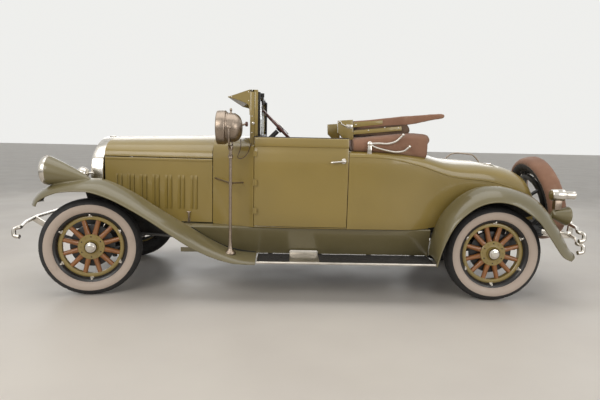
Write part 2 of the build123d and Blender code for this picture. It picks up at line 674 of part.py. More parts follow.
def under_fender(stations, side):
    """The space below the skin, for trimming what stands on a fender."""
    faces = []
    for y, share, drop in FENDER_BANDS:
        curve = offset_curve(fender_curve(stations, share, drop), -FENDER_SKIN / 2)
        faces.append(side_face(side * y, curve + [(curve[-1][0], 200), (curve[0][0], 200)]))
    return faces


def valance_strip(x, side, top, foot):
    """One section of the sheet between a fender's inner edge and the body, in the plane X = x."""
    strip = [top, foot, (foot[0] - VALANCE_SKIN, foot[1]), (top[0] - VALANCE_SKIN, top[1])]
    return cross_face(x, [(side * y, z) for y, z in strip])


def front_foot(x):
    """Where the front valance meets the frame apron, just outside the hood's bottom edge."""
    return 418 + max(0, HOOD_FRONT - x) * 0.103, BODY_BOTTOM - 2


def rear_foot(x):
    """Where the rear valance meets the body, above its sill."""
    return between(REAR_STATIONS, x, 1) - 4, 686.0


for side, word in SIDES:
    with BuildPart() as fender:
        with BuildSketch(Plane(origin=(LAMP_X, side * LAMP_Y, LAMP_Z), z_dir=(1, 0, 0))) as pod_front:
            Circle(LAMP_RADIUS - 6)
        with BuildSketch(Plane(origin=(POD_TIP[0], side * LAMP_Y, POD_TIP[1]), z_dir=(1, 0, 0))) as pod_rear:
            Circle(POD_TIP[2])
        loft([pod_rear.sketch, pod_front.sketch])
        loft(under_fender(FRONT_FENDER, side), ruled=True, mode=Mode.SUBTRACT)
        loft(fender_skin(FRONT_FENDER, side), ruled=True)
        crowns = [(x, z) for x, z, *_ in FRONT_FENDER]
        loft([valance_strip(x, side, (INNER_EDGE_Y + 6, between(crowns, x, 1) - INNER_EDGE_DROP + 5),
                            front_foot(x)) for x in FRONT_VALANCE], ruled=True)
    export(fender, f"front_fender_{word}")
    with BuildPart() as fender:
        loft(fender_skin(REAR_FENDER, side), ruled=True)
        crowns = [(x, z) for x, z, *_ in REAR_FENDER]
        loft([valance_strip(x, side, (INNER_EDGE_Y + 6, between(crowns, x, 1) - INNER_EDGE_DROP + 5),
                            rear_foot(x)) for x in REAR_VALANCE], ruled=True)
        add(body_form.part, mode=Mode.SUBTRACT)
    export(fender, f"rear_fender_{word}")

# Running boards, the splash aprons above them, and the apron between the front horns

BOARD_FRONT, BOARD_REAR = 304.0, -1206.0
BOARD_BOTTOM, BOARD_TOP = 339.0, 357.0
BOARD_INNER, BOARD_OUTER = 600.0, 912.0
APRON_SKIN = 6.0
APRON_FRONT = 994.0
APRON_REAR = -1218.0
APRON_TOP = BODY_BOTTOM - 1
APRON_PROFILE = [(644, APRON_TOP), (654, APRON_TOP - 10), (630, 500), (606, 400), (598, BOARD_TOP + 1)]

with BuildPart() as boards:
    for side, _ in SIDES:
        low, high = sorted((side * BOARD_INNER, side * BOARD_OUTER))
        block((BOARD_REAR, low, BOARD_BOTTOM), (BOARD_FRONT, high, BOARD_TOP))
    block((30, BOARD_INNER - 180, BOARD_BOTTOM - 12), (60, BOARD_OUTER - 60, BOARD_BOTTOM))
    block((30, 60 - BOARD_OUTER, BOARD_BOTTOM - 12), (60, 180 - BOARD_INNER, BOARD_BOTTOM))
export(boards, "running_boards")

with BuildPart() as aprons:
    for side, _ in SIDES:
        shelf = [(470, APRON_TOP)]
        skin = [(y - APRON_SKIN, z) for y, z in APRON_PROFILE[1:]]
        outline = shelf + APRON_PROFILE + skin[::-1] + [(470, APRON_TOP - APRON_SKIN)]
        extrude(cross_face(APRON_REAR, [(side * y, z) for y, z in outline]), amount=APRON_FRONT - APRON_REAR)
        loft(under_fender(FRONT_FENDER, side), ruled=True, mode=Mode.SUBTRACT)
        loft(fender_skin(FRONT_FENDER, side), ruled=True, mode=Mode.SUBTRACT)
    add(rails_frame.part, mode=Mode.SUBTRACT)
    front = [(1836, 590), (2000, 586), (2120, 572), (2240, 541), (2240, 535), (2120, 566), (2000, 580),
             (1836, 584)]
    extrude(side_face(-289, front), amount=578, dir=(0, 1, 0))
    add(members.part, mode=Mode.SUBTRACT)
export(aprons, "splash_aprons")

# Windshield with its body-colour posts and header, the glass, and the visor with its side cheeks

POST_FRONT, POST_MID, POST_BACK = 384.0, 347.5, 318.0
POST_IN, POST_OUT = 618.0, 654.0
SHIELD_TOP = 1783.0
HEADER_BOTTOM = 1760.0
FRAME_BOTTOM = 1394.0
POST_FOOT = 1328.0                # within the cowl's skin

with BuildPart() as shield:
    for side, _ in SIDES:
        low, high = sorted((side * POST_IN, side * POST_OUT))
        block((DOOR_FRONT + 1, low, POST_FOOT), (POST_FRONT, high, SHIELD_TOP))
        block((POST_BACK, low, FRAME_BOTTOM), (POST_MID + 1, high, HEADER_BOTTOM + 6))
    block((POST_BACK, -POST_OUT, HEADER_BOTTOM), (POST_FRONT, POST_OUT, SHIELD_TOP))
    block((POST_MID, -POST_IN, FRAME_BOTTOM), (POST_FRONT - 12, POST_IN, FRAME_BOTTOM + 14))
    add(cowl.part, mode=Mode.SUBTRACT)
export(shield, "windshield_frame")

with BuildPart() as glass:
    block((POST_BACK + 8, -POST_IN + FIT, FRAME_BOTTOM + 16), (POST_BACK + 14, POST_IN - FIT, HEADER_BOTTOM - FIT))
export(glass, "windshield_glass")

VISOR_TIP = (567.0, 1719.0)
CHEEK = [(POST_FRONT + FIT, SHIELD_TOP), (VISOR_TIP[0], VISOR_TIP[1]), (508, 1704), (448, 1684), (405, 1664),
         (POST_FRONT + FIT, 1620)]

with BuildPart() as visor:
    roof = [(POST_FRONT + FIT, SHIELD_TOP), (VISOR_TIP[0], VISOR_TIP[1]), (VISOR_TIP[0] - 4, VISOR_TIP[1] - 6),
            (POST_FRONT + FIT, SHIELD_TOP - 7)]
    extrude(side_face(-POST_OUT, roof), amount=2 * POST_OUT, dir=(0, 1, 0))
    for side, _ in SIDES:
        extrude(side_face(side * POST_OUT, CHEEK), amount=6, dir=(0, -side, 0))
export(visor, "visor")

# Cabin: front seat and rumble seat, dashboard, steering column and wheel

SEAT_HALF = 585.0

with BuildPart() as seats:
    block((-430, -SEAT_HALF, BODY_BOTTOM + WALL + 0.3), (70, SEAT_HALF, 890))
    back = [(-428, 700), (-560, 1270), (-700, 1270), (-640, BODY_BOTTOM + WALL + 0.3), (-428, BODY_BOTTOM + WALL + 0.3)]
    extrude(side_face(-SEAT_HALF, back), amount=2 * SEAT_HALF, dir=(0, 1, 0))
    block((-1840, -360, 684), (-1400, 360, 840))
export(seats, "seats")

with BuildPart() as dash:
    extrude(cross_face(372, body_outline(650, 674, 1228, 1386, 1130, COWL_POWER, WALL + 7)), amount=20)
    block((360, -700, 1348), (400, 700, 1400), mode=Mode.SUBTRACT)
    rod(down_column(200), down_column(500), 26, mode=Mode.SUBTRACT)
export(dash, "dashboard")

STEERING_BOX = ((900.0, 290.5, 597.0), (1045.0, 352.0, 700.0))

with BuildPart() as column:
    rod(down_column(32), down_column(1148), 21)
    block(*STEERING_BOX)
    rod((PITMAN_X, 330, PITMAN_Z), (PITMAN_X, PITMAN_HUB_Y - 0.5, PITMAN_Z), 22)
export(column, "steering_column")

with BuildPart() as steering_wheel:
    with BuildSketch(Plane(origin=WHEEL_HUB, x_dir=(0, 1, 0), z_dir=(RAKE[2], 0, -RAKE[0]))) as rim:
        with Locations((STEERING_RADIUS, 0)):
            Circle(13)
    revolve(rim.sketch, axis=Axis(WHEEL_HUB, RAKE))
    rod(down_column(-26), down_column(26), 38)
    hub = Plane(origin=WHEEL_HUB, z_dir=RAKE)
    for i in range(4):
        a = math.radians(45 + 90 * i)
        spoke = hub.x_dir * math.cos(a) + hub.y_dir * math.sin(a)
        rod(WHEEL_HUB, tuple(hub.origin + spoke * (STEERING_RADIUS - 4)), 9)
export(steering_wheel, "steering_wheel")

# Folded top: a thick fold on the body's shoulders, a long flat one over it that reaches back, and the
# two ends of the front bow beside the driver; then its bright irons

BOW_HALF, BOW_WIDTH = 612.0, 54.0
BOW_END = [(-369, 1541), (-504, 1552), (-514, 1375), (-436, 1374), (-376, 1434)]
UPPER_FOLD = [(-504, 1551), (-915, 1594), (-1179, 1620), (-1300, 1624), (-1317, 1601), (-1285, 1573),
              (-1182, 1553), (-1060, 1510), (-1022, 1452), (-900, 1400), (-514, 1376)]
LOWER_FOLD = [(-514, 1400), (-900, 1446), (-1042, 1448), (-1152, 1440), (-1193, 1398), (-1150, 1296),
              (-1130, 1200), (-500, 1200), (-496, 1337)]
LOWER_PLAN = [(-480, 684), (-700, 682), (-900, 666), (-1050, 642), (-1210, 600)]     # x, half width
IRON_Y = 700.0
IRON_PIVOT = (-642.0, 1348.0)

with BuildPart() as top_stack:
    extrude(side_face(-LOWER_PLAN[0][1], LOWER_FOLD), amount=2 * LOWER_PLAN[0][1], dir=(0, 1, 0))
    mirrored = [(x, -y) for x, y in LOWER_PLAN[::-1]]
    extrude(plan_face(1100, LOWER_PLAN + mirrored), amount=500, mode=Mode.INTERSECT)
    add(body_form.part, mode=Mode.SUBTRACT)
    extrude(side_face(-BOW_HALF, UPPER_FOLD), amount=2 * BOW_HALF, dir=(0, 1, 0))
    for side, _ in SIDES:
        extrude(side_face(side * BOW_HALF, BOW_END), amount=BOW_WIDTH, dir=(0, -side, 0))
export(top_stack, "folded_top")

with BuildPart() as irons:
    for side, _ in SIDES:
        y = side * IRON_Y
        upper = [(IRON_PIVOT[0], y, IRON_PIVOT[1]), (-797, y, 1351), (-862, y, 1370), (-925, y, 1428)]
        lower = [(IRON_PIVOT[0], y, IRON_PIVOT[1]), (-690, y, 1320), (-862, y, 1282), (-931, y, 1290),
                 (-985, y, 1330)]
        pipe(upper, 8, 20)
        pipe(lower, 8, 20)
        rod((IRON_PIVOT[0], side * (IRON_Y - 12), IRON_PIVOT[1]),
            (IRON_PIVOT[0], side * (IRON_Y + 14), IRON_PIVOT[1]), 20)
        low, high = sorted((side * (IRON_Y - 10), side * (IRON_Y + 8)))
        block((IRON_PIVOT[0] - 22, low, 1200), (IRON_PIVOT[0] + 22, high, IRON_PIVOT[1] - 6))
    add(body_form.part, mode=Mode.SUBTRACT)
export(irons, "top_irons")

# One grab rail on the deck, on the right of the rumble lid

GRAB_RAIL_Y = -392.0
GRAB_RAIL = [(-1636, 1140), (-1650, 1206), (-1700, 1246), (-1770, 1262), (-1925, 1248), (-1975, 1212),
             (-2014, 1166), (-2020, 1060)]

with BuildPart() as grab_rail:
    pipe([(x, GRAB_RAIL_Y, z) for x, z in GRAB_RAIL], 7, [30, 60, 80, 60, 60, 40])
    add(body_form.part, mode=Mode.SUBTRACT)
export(grab_rail, "grab_rail")

# Spare wheel on its carrier, leaning with the tail

SPARE_CENTRE = (-2472.0, 0.0, 836.0)
SPARE_LEAN = 14.5
spare_out = (-math.cos(math.radians(SPARE_LEAN)), 0.0, math.sin(math.radians(SPARE_LEAN)))
SPARE_PLANE = Plane(origin=SPARE_CENTRE, x_dir=spare_out, z_dir=(0, 1, 0))
SPARE_AXIS = Axis(SPARE_CENTRE, spare_out)

with BuildPart() as spare_tyre:
    add_tyre(SPARE_PLANE, SPARE_AXIS)
export(spare_tyre, "spare_tyre")

with BuildPart() as spare_rim:
    ring(SPARE_PLANE, SPARE_AXIS, 255, RIM_RADIUS - 0.4, -52, 52)
export(spare_rim, "spare_rim")

CARRIER_RODS = (
    # start x, start z, end x, end z, y, radius
    (-2330.3, 550.0, -2455.0, 665.0, 160.0, 18.0),
    (-2262.0, 850.0, -2391.0, 932.0, 195.0, 16.0),
)

with BuildPart() as carrier:
    ring(SPARE_PLANE, SPARE_AXIS, 205, 254.6, -70, -40)
    for side, _ in SIDES:
        for x, z, end_x, end_z, y, radius in CARRIER_RODS:
            rod((x, side * y, z), (end_x, side * y, end_z), radius)
    add(body_form.part, mode=Mode.SUBTRACT)
    add(members.part, mode=Mode.SUBTRACT)
export(carrier, "spare_carrier")

# Head lamp rims with their lenses, on the pods of the front fenders

with BuildPart() as headlamps:
    for side, _ in SIDES:
        centre = (0, side * LAMP_Y, LAMP_Z)
        lens = [(LAMP_X + 0.3, LAMP_RADIUS - 2), (LAMP_X + 10, LAMP_RADIUS), (LAMP_X + 30, LAMP_RADIUS),
                (LAMP_X + LAMP_DEPTH, LAMP_RADIUS - 8), (LAMP_X + LAMP_DEPTH + 12, LAMP_RADIUS * 0.6),
                (LAMP_X + LAMP_DEPTH + 16, 12)]
        turned_shape(Axis(centre, (1, 0, 0)), centre, lens)
export(headlamps, "headlamps")

# Horns beside the radiator, each a domed motor with a flared bell, on a bracket from the shell

HORN_X, HORN_Y, HORN_Z = 1896.0, 470.0, 1030.0

with BuildPart() as horns:
    for side, _ in SIDES:
        centre = (0, side * HORN_Y, HORN_Z)
        horn = [(HORN_X - 56, 14), (HORN_X - 48, 38), (HORN_X - 24, 54), (HORN_X + 6, 56), (HORN_X + 26, 40),
                (HORN_X + 40, 22), (HORN_X + 84, 26), (HORN_X + 112, 40), (HORN_X + 124, 54)]
        turned_shape(Axis(centre, (1, 0, 0)), centre, horn)
        rod((HORN_X - 84, side * 430, HORN_Z), (HORN_X - 20, side * (HORN_Y - 10), HORN_Z), 11)
    add(shell.part, mode=Mode.SUBTRACT)
export(horns, "horns")

# Post lamp: a tall post on the left fender's tail, with a yoke, a drum lamp and a brace to the cowl

SPOT_Z = 1457.0
SPOT_PROFILE = [(433, 10), (437, 52), (452, 88), (486, 114), (552, 121), (556, 139), (630, 139.5),
                (640, 130), (652, 80), (656, 14)]
COLLAR = (1207.0, 1232.0)

with BuildPart() as post_lamp:
    rod((POST_X, POST_Y, 380), (POST_X, POST_Y, 424), 36)
    loft(under_fender(FRONT_FENDER, 1), ruled=True, mode=Mode.SUBTRACT)
    loft(fender_skin(FRONT_FENDER, 1), ruled=True, mode=Mode.SUBTRACT)
    rod((POST_X, POST_Y, 420), (POST_X, POST_Y, 1296), 13)
    rod((POST_X, POST_Y, COLLAR[0]), (POST_X, POST_Y, COLLAR[1]), 20)
    pipe([(POST_X, POST_Y - 134, SPOT_Z + 14), (POST_X, POST_Y - 134, 1330), (POST_X, POST_Y - 60, 1291),
          (POST_X, POST_Y + 60, 1291), (POST_X, POST_Y + 134, 1330), (POST_X, POST_Y + 134, SPOT_Z + 14)], 9, 40)
    rod((POST_X, POST_Y - 138, SPOT_Z), (POST_X, POST_Y + 138, SPOT_Z), 9)
    spot = (0, POST_Y, SPOT_Z)
    turned_shape(Axis(spot, (1, 0, 0)), spot, SPOT_PROFILE)
    rod((436, POST_Y, 1482), (398, POST_Y, 1488), 9)
    rod((400, POST_Y, 1470), (396, POST_Y, 1506), 12)
    rod((528, POST_Y, 1570), (528, POST_Y, 1616), 9)
    rod((704, 502, 1014), (POST_X, POST_Y, 996), 8)
    rod((436, 630, 990), (POST_X, POST_Y, 996), 8)
    add(cowl.part, mode=Mode.SUBTRACT)
export(post_lamp, "post_lamp")

# The post lamp's lead: down from the lamp, round the post's collar, and up to the windshield post

LEAD_RADIUS = 3.0
LEAD_ROUTE = [(447, POST_Y, 1366), (444, POST_Y, 1320), (452, POST_Y - 2, 1268), (472, POST_Y - 6, 1228),
              (470, POST_Y - 24, 1204), (446, POST_Y - 52, 1200), (418, POST_Y - 84, 1216),
              (396, POST_Y - 112, 1250), (382, POST_Y - 132, 1292), (370, POST_Y - 143.4, 1330)]

with BuildPart() as lead:
    with BuildLine() as route:
        points = [Vector(*p) for p in LEAD_ROUTE]
        bends = []
        for before, corner, after in zip(points, points[1:], points[2:]):
            turn = math.radians((corner - before).get_angle(after - corner))
            run = min((corner - before).length, (after - corner).length)
            bends.append(0.45 * run / math.tan(turn / 2))
        FilletPolyline(*points, radius=bends)
    with BuildSketch(Plane(origin=route.line @ 0, z_dir=route.line % 0)) as section:
        Circle(LEAD_RADIUS)
    sweep(section.sketch, path=route.line)
    add(post_lamp.part, mode=Mode.SUBTRACT)
    add(shield.part, mode=Mode.SUBTRACT)
export(lead, "lamp_lead")

# Tail lamps: a flared lamp on a bracket at the inner edge of each rear fender, a small drum lamp above

TAIL_LAMP_Y = 610.0
TAIL_LAMP = [(-2300, 20), (-2310, 40), (-2330, 52), (-2440, 84), (-2456, 86), (-2462, 80)]
DRUM_LAMP = [(-2286, 20), (-2290, 50), (-2400, 52), (-2412, 36), (-2496, 36), (-2502, 30)]

with BuildPart() as tail_lamps:
    for side, _ in SIDES:
        for z, profile in ((766, TAIL_LAMP), (930, DRUM_LAMP)):
            centre = (0, side * TAIL_LAMP_Y, z)
            turned_shape(Axis(centre, (1, 0, 0)), centre, profile)
        y = side * TAIL_LAMP_Y
        pipe([(-2255, y, 640), (-2330, y, 760), (-2350, y, 920)], 14, 60)
        loft(under_fender(REAR_FENDER, side), ruled=True, mode=Mode.SUBTRACT)
        loft(fender_skin(REAR_FENDER, side), ruled=True, mode=Mode.SUBTRACT)
export(tail_lamps, "tail_lamps")

# Bumpers: a round bar across the front and a pair of short bars at each rear corner, bowed in plan, with
# curled ends, on flat arms from the frame

BAR_RADIUS = 18.0
CURL = 22.0
FRONT_BAR_Z = 600.0
FRONT_HALF = [(2404, 300), (2350, 600), (2264, 838)]            # x, y
REAR_BARS = (632.0, 530.0)
REAR_GUARD = [(-2622, 366), (-2560, 600), (-2450, 800)]


def curled_end(end, z, forward):
    """The points that roll the end of a bar down in a curl."""
    x, y = end
    return [(x + forward * 44, y + 18, z - 6), (x + forward * 44, y + 26, z - 70), (x - forward * 6, y + 30, z - 74)]


with BuildPart() as front_bumper:
    left = [(x, y, FRONT_BAR_Z) for x, y in FRONT_HALF] + curled_end(FRONT_HALF[-1], FRONT_BAR_Z, 1)
    right = [(x, -y, z) for x, y, z in left]
    pipe(right[::-1] + left, BAR_RADIUS, [CURL, CURL, CURL, 200, 200, 200, 200, CURL, CURL, CURL])
    arm = [(2140, 490), (2270, 490), (2416, 580), (2416, 616), (2376, 616), (2250, 534), (2140, 534)]
    for side, _ in SIDES:
        extrude(side_face(side * 350.3, arm), amount=22, dir=(0, side, 0))
export(front_bumper, "front_bumper")

with BuildPart() as rear_bumper:
    for side, _ in SIDES:
        for z in REAR_BARS:
            bar = [(x, y, z) for x, y in REAR_GUARD] + curled_end(REAR_GUARD[-1], z, -1)
            pipe([(x, side * y, z) for x, y, z in bar], BAR_RADIUS, [200, CURL, CURL, CURL])
        arm = [(-2330.3, 524), (-2330.3, 582), (-2540, 560), (-2590, 566), (-2600, 660), (-2636, 660),
               (-2636, 504), (-2600, 500), (-2540, 500)]
        extrude(side_face(side * 384, arm), amount=24, dir=(0, side, 0))
export(rear_bumper, "rear_bumper")
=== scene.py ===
import json
import math

import bmesh
import bpy
from mathutils import Matrix, Vector, noise


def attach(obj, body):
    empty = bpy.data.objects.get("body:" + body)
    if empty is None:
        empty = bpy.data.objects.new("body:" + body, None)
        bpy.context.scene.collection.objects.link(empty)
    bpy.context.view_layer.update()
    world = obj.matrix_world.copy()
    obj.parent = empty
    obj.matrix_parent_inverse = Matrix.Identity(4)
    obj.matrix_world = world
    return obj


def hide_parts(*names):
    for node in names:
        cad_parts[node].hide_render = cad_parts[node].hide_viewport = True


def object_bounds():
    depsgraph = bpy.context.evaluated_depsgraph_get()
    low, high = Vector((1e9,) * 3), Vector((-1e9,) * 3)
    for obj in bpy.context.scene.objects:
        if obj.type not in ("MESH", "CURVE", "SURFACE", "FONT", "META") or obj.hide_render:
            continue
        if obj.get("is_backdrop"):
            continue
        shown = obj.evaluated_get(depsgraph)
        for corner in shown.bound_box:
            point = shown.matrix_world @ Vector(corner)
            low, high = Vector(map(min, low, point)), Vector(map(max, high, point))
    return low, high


# The look of a 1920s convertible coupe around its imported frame.  Tables are in millimetres, and
# MM turns them into metres.  +X is forward, +Y is the car's left, +Z is up.

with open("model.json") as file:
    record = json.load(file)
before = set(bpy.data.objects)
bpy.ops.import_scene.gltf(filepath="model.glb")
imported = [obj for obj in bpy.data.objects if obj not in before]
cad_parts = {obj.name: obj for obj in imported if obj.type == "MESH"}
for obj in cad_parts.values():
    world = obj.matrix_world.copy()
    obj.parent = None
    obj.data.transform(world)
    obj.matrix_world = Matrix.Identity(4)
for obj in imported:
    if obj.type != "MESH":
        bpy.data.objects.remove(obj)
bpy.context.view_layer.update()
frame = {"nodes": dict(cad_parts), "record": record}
MM = 0.001
SIDES = ((1, "left"), (-1, "right"))


# ---- camera ----

camera_data = bpy.data.cameras.new("camera")
camera_data.sensor_width = 36
camera_data.lens = 29.366
camera = bpy.data.objects.new("camera", camera_data)
bpy.context.scene.collection.objects.link(camera)
camera.matrix_world = Matrix((
    (-0.99957, 0.01871, 0.02271, 0.0389669),
    (0.02019, -0.12507, 0.99194, 4.8888568),
    (0.02140, 0.99197, 0.12463, 1.3799527),
    (0, 0, 0, 1)))
bpy.context.scene.camera = camera
bpy.context.scene.view_settings.view_transform = "Standard"


# ---- materials ----

class Look:
    """A procedural material on one Principled shader."""

    def __init__(self, name, **values):
        self.material = bpy.data.materials.new(name)
        self.material.use_nodes = True
        self.tree = self.material.node_tree
        self.shader = self.tree.nodes["Principled BSDF"]
        self.set(self.shader, values)
        self.where = self.node("ShaderNodeTexCoord").outputs["Object"]

    def set(self, node, values):
        for key, value in values.items():
            key = key.replace("_", " ") if isinstance(key, str) else key
            socket = node.inputs[key]
            if isinstance(value, bpy.types.NodeSocket):
                self.tree.links.new(value, socket)
            elif isinstance(value, tuple) and len(value) == 3 and socket.type == "RGBA":
                socket.default_value = value + (1,)
            else:
                socket.default_value = value

    def node(self, kind, inputs=None, **settings):
        node = self.tree.nodes.new(kind)
        for key, value in settings.items():
            setattr(node, key, value)
        self.set(node, inputs or {})
        return node

    def noise(self, scale, detail=3.0, rough=0.5, where=None, stretch=None):
        where = where or self.where
        if stretch:
            where = self.node("ShaderNodeMapping", {"Vector": where, "Scale": stretch}).outputs[0]
        return self.node("ShaderNodeTexNoise", {
            "Vector": where, "Scale": scale, "Detail": detail, "Roughness": rough}).outputs[0]

    def ramp(self, value, low, high, to_low=0.0, to_high=1.0):
        return self.node("ShaderNodeMapRange", {
            "Value": value, "From Min": low, "From Max": high, "To Min": to_low, "To Max": to_high},
            interpolation_type="SMOOTHSTEP").outputs[0]

    def mix(self, share, a, b):
        node = self.node("ShaderNodeMix", {0: share}, data_type="RGBA")
        for index, value in ((6, a), (7, b)):
            self.set(node, {index: value})
        return node.outputs[2]

    def maths(self, operation, a, b):
        return self.node("ShaderNodeMath", {0: a, 1: b}, operation=operation).outputs[0]

    def height(self):
        return self.node("ShaderNodeSeparateXYZ", {0: self.where}).outputs[2]

    def bump(self, *layers):
        """Layers of (height, strength, distance), laid over each other."""
        normal = None
        for value, strength, distance in layers:
            inputs = {"Height": value, "Strength": strength, "Distance": distance}
            if normal:
                inputs["Normal"] = normal
            normal = self.node("ShaderNodeBump", inputs).outputs[0]
        self.set(self.shader, {"Normal": normal})

    def finish(self, colour=None, rough=None):
        if colour is not None:
            self.set(self.shader, {"Base Color": colour})
        if rough is not None:
            self.set(self.shader, {"Roughness": rough})
        return self.material


def paint(name, colour, shade, dust=(0.36, 0.31, 0.22)):
    """Old enamel: soft changes of tone, orange peel, a little dust low down."""
    look = Look(name, Coat_Weight=0.55, Coat_Roughness=0.06)
    tone = look.mix(look.ramp(look.noise(1.3, 2), 0.35, 0.65), colour, shade)
    low = look.ramp(look.height(), 0.15, 0.75, 0.22, 0.0)
    dusty = look.maths("MULTIPLY", low, look.noise(14, 6, 0.6))
    look.bump((look.noise(240, 2), 0.06, 0.001), (look.noise(3.5, 1), 0.10, 0.004))
    return look.finish(look.mix(dusty, tone, dust), look.ramp(look.noise(6, 5), 0.3, 0.7, 0.30, 0.40))


def metal(name, colour, low, high, grain=60.0):
    """Plate with faint wiping marks and a changing gloss."""
    look = Look(name, Metallic=1.0)
    marks = look.noise(grain, 6, 0.7, stretch=(1, 1, 6))
    stain = look.noise(9, 5, 0.6)
    look.bump((marks, 0.04, 0.0005))
    dull = tuple(c * 0.72 for c in colour)
    return look.finish(look.mix(look.ramp(stain, 0.4, 0.75), colour, dull),
            look.ramp(marks, 0.3, 0.7, low, high))


def dark(name, colour, rough, spots=(0.12, 0.09, 0.06), amount=0.35):
    """Chassis black and other dull finishes, with road dirt."""
    look = Look(name)
    dirt = look.ramp(look.noise(7, 8, 0.65), 0.52, 0.78, 0, amount)
    look.bump((look.noise(90, 4), 0.15, 0.001))
    return look.finish(look.mix(dirt, colour, spots), look.ramp(look.noise(25, 4), 0.3, 0.7, rough - 0.08,
            rough + 0.12))


def cloth(name, colour, shade, thread=900.0, fade=(0.50, 0.38, 0.27)):
    """Woven canvas: crossed threads, soft creases, sun-faded patches."""
    look = Look(name, Roughness=0.9, Sheen_Weight=0.25, Sheen_Roughness=0.5)
    waves = [look.node("ShaderNodeTexWave", {"Vector": look.where, "Scale": thread / 6.28,
            "Distortion": 0.6},
                       bands_direction=axis).outputs[1] for axis in ("X", "Y", "Z")]
    weave = look.maths("ADD", waves[0], look.maths("ADD", waves[1], waves[2]))
    tone = look.mix(look.ramp(look.noise(5, 4), 0.35, 0.7), colour, shade)
    worn = look.ramp(look.noise(2.2, 6, 0.7), 0.55, 0.8, 0, 0.5)
    look.bump((look.noise(28, 5, 0.6), 0.25, 0.006), (weave, 0.2, 0.0006))
    return look.finish(look.mix(worn, tone, fade))


def leather(name, colour, shade):
    look = Look(name, Sheen_Weight=0.05)
    cells = look.node("ShaderNodeTexVoronoi", {"Vector": look.where, "Scale": 420},
            feature="DISTANCE_TO_EDGE").outputs[0]
    look.bump((look.noise(18, 5, 0.6), 0.2, 0.004), (look.ramp(cells, 0, 0.12), 0.25, 0.0006))
    return look.finish(look.mix(look.ramp(look.noise(6, 5), 0.35, 0.7), colour, shade),
                       look.ramp(look.noise(20, 4), 0.3, 0.7, 0.38, 0.58))


def wood(name, colour, shade):
    """Varnished wood whose grain runs along the piece's own grain coordinate."""
    look = Look(name, Coat_Weight=0.5, Coat_Roughness=0.12)
    along = look.node("ShaderNodeAttribute", attribute_name="grain").outputs["Vector"]
    lines = look.noise(60, 6, 0.65, where=along, stretch=(4, 4, 0.25))
    broad = look.noise(12, 3, 0.5, where=along, stretch=(1, 1, 0.3))
    tone = look.mix(look.ramp(lines, 0.38, 0.66), colour, shade)
    look.bump((lines, 0.12, 0.0008))
    return look.finish(look.mix(look.ramp(broad, 0.3, 0.8, 0, 0.35), tone, shade),
            look.ramp(lines, 0.3, 0.7, 0.32, 0.46))


def glassy(name, colour, rough=0.02, **more):
    look = Look(name, Transmission_Weight=1.0, IOR=1.46, **more)
    smear = look.noise(7, 5, 0.6)
    return look.finish(colour, look.ramp(smear, 0.45, 0.8, rough, rough + 0.05))


GOLD = paint("gold_enamel", (0.302, 0.214, 0.050), (0.264, 0.190, 0.047))
OLIVE = paint("olive_enamel", (0.172, 0.142, 0.062), (0.150, 0.125, 0.056))
NICKEL = metal("nickel_plate", (0.66, 0.62, 0.56), 0.10, 0.26)
AGED_NICKEL = metal("aged_nickel", (0.33, 0.265, 0.21), 0.24, 0.42)
ALUMINIUM = metal("worn_aluminium", (0.62, 0.58, 0.52), 0.30, 0.48)
FRAME_BLACK = dark("chassis_black", (0.018, 0.017, 0.016), 0.38)
SATIN_BLACK = dark("satin_black", (0.014, 0.012, 0.011), 0.32, amount=0.1)
STEEL = dark("oiled_steel", (0.10, 0.098, 0.094), 0.42)
IRON = dark("engine_iron", (0.085, 0.095, 0.085), 0.55)
RUST = dark("rusty_pipe", (0.15, 0.095, 0.06), 0.7, spots=(0.20, 0.09, 0.035), amount=0.8)
RUBBER = dark("tyre_rubber", (0.020, 0.019, 0.019), 0.66, spots=(0.07, 0.062, 0.052), amount=0.4)
MAT = dark("rubber_mat", (0.017, 0.015, 0.014), 0.55, spots=(0.06, 0.05, 0.04), amount=0.5)
WHITEWALL = dark("whitewall", (0.50, 0.41, 0.34), 0.55, spots=(0.34, 0.27, 0.21), amount=0.5)
SPOKE_WOOD = wood("hickory", (0.36, 0.145, 0.036), (0.20, 0.070, 0.018))
DASH_WOOD = wood("walnut", (0.17, 0.075, 0.032), (0.085, 0.034, 0.016))
RIM_BROWN = dark("brown_rim", (0.075, 0.018, 0.010), 0.22, amount=0.05)
CANVAS = cloth("tan_canvas", (0.305, 0.160, 0.098), (0.245, 0.125, 0.076))
# darker canvas: the real inner face of the spare cover, and painted shade on the middle fold of the top
LINING_AND_SHADE = cloth("canvas_lining_and_shade", (0.16, 0.10, 0.062), (0.115, 0.072, 0.045), fade=(0.2, 0.14, 0.09))
LEATHER = leather("tan_leather", (0.26, 0.145, 0.075), (0.19, 0.10, 0.052))
CARPET = cloth("carpet", (0.075, 0.055, 0.035), (0.05, 0.036, 0.024), thread=300.0, fade=(0.1, 0.08, 0.05))
CLEAR = glassy("window_glass", (0.93, 0.96, 0.95))
LENS = glassy("lamp_lens", (0.95, 0.95, 0.92), 0.05)
RED_LENS = glassy("red_lens", (0.55, 0.02, 0.012), 0.08)
REFLECTOR = metal("reflector", (0.80, 0.79, 0.76), 0.05, 0.10)
# Near-black used as painted shade. The louvre openings and the strips behind the louvres are painted shade
# only. On the radiator core and the fender welts it is the parts' own black, made deeper to paint the shade
# in the cells and in the joint.
SHADE_BLACK = dark("shadow_black", (0.006, 0.006, 0.006), 0.8, amount=0.05)
UNDERCOAT = dark("undercoat", (0.018, 0.016, 0.014), 0.78, spots=(0.045, 0.037, 0.029), amount=0.5)
LEAD_BRAID = cloth("braided_lead", (0.085, 0.045, 0.025), (0.05, 0.028, 0.018), thread=2400.0,
        fade=(0.1, 0.06, 0.04))


# ---- shapes ----

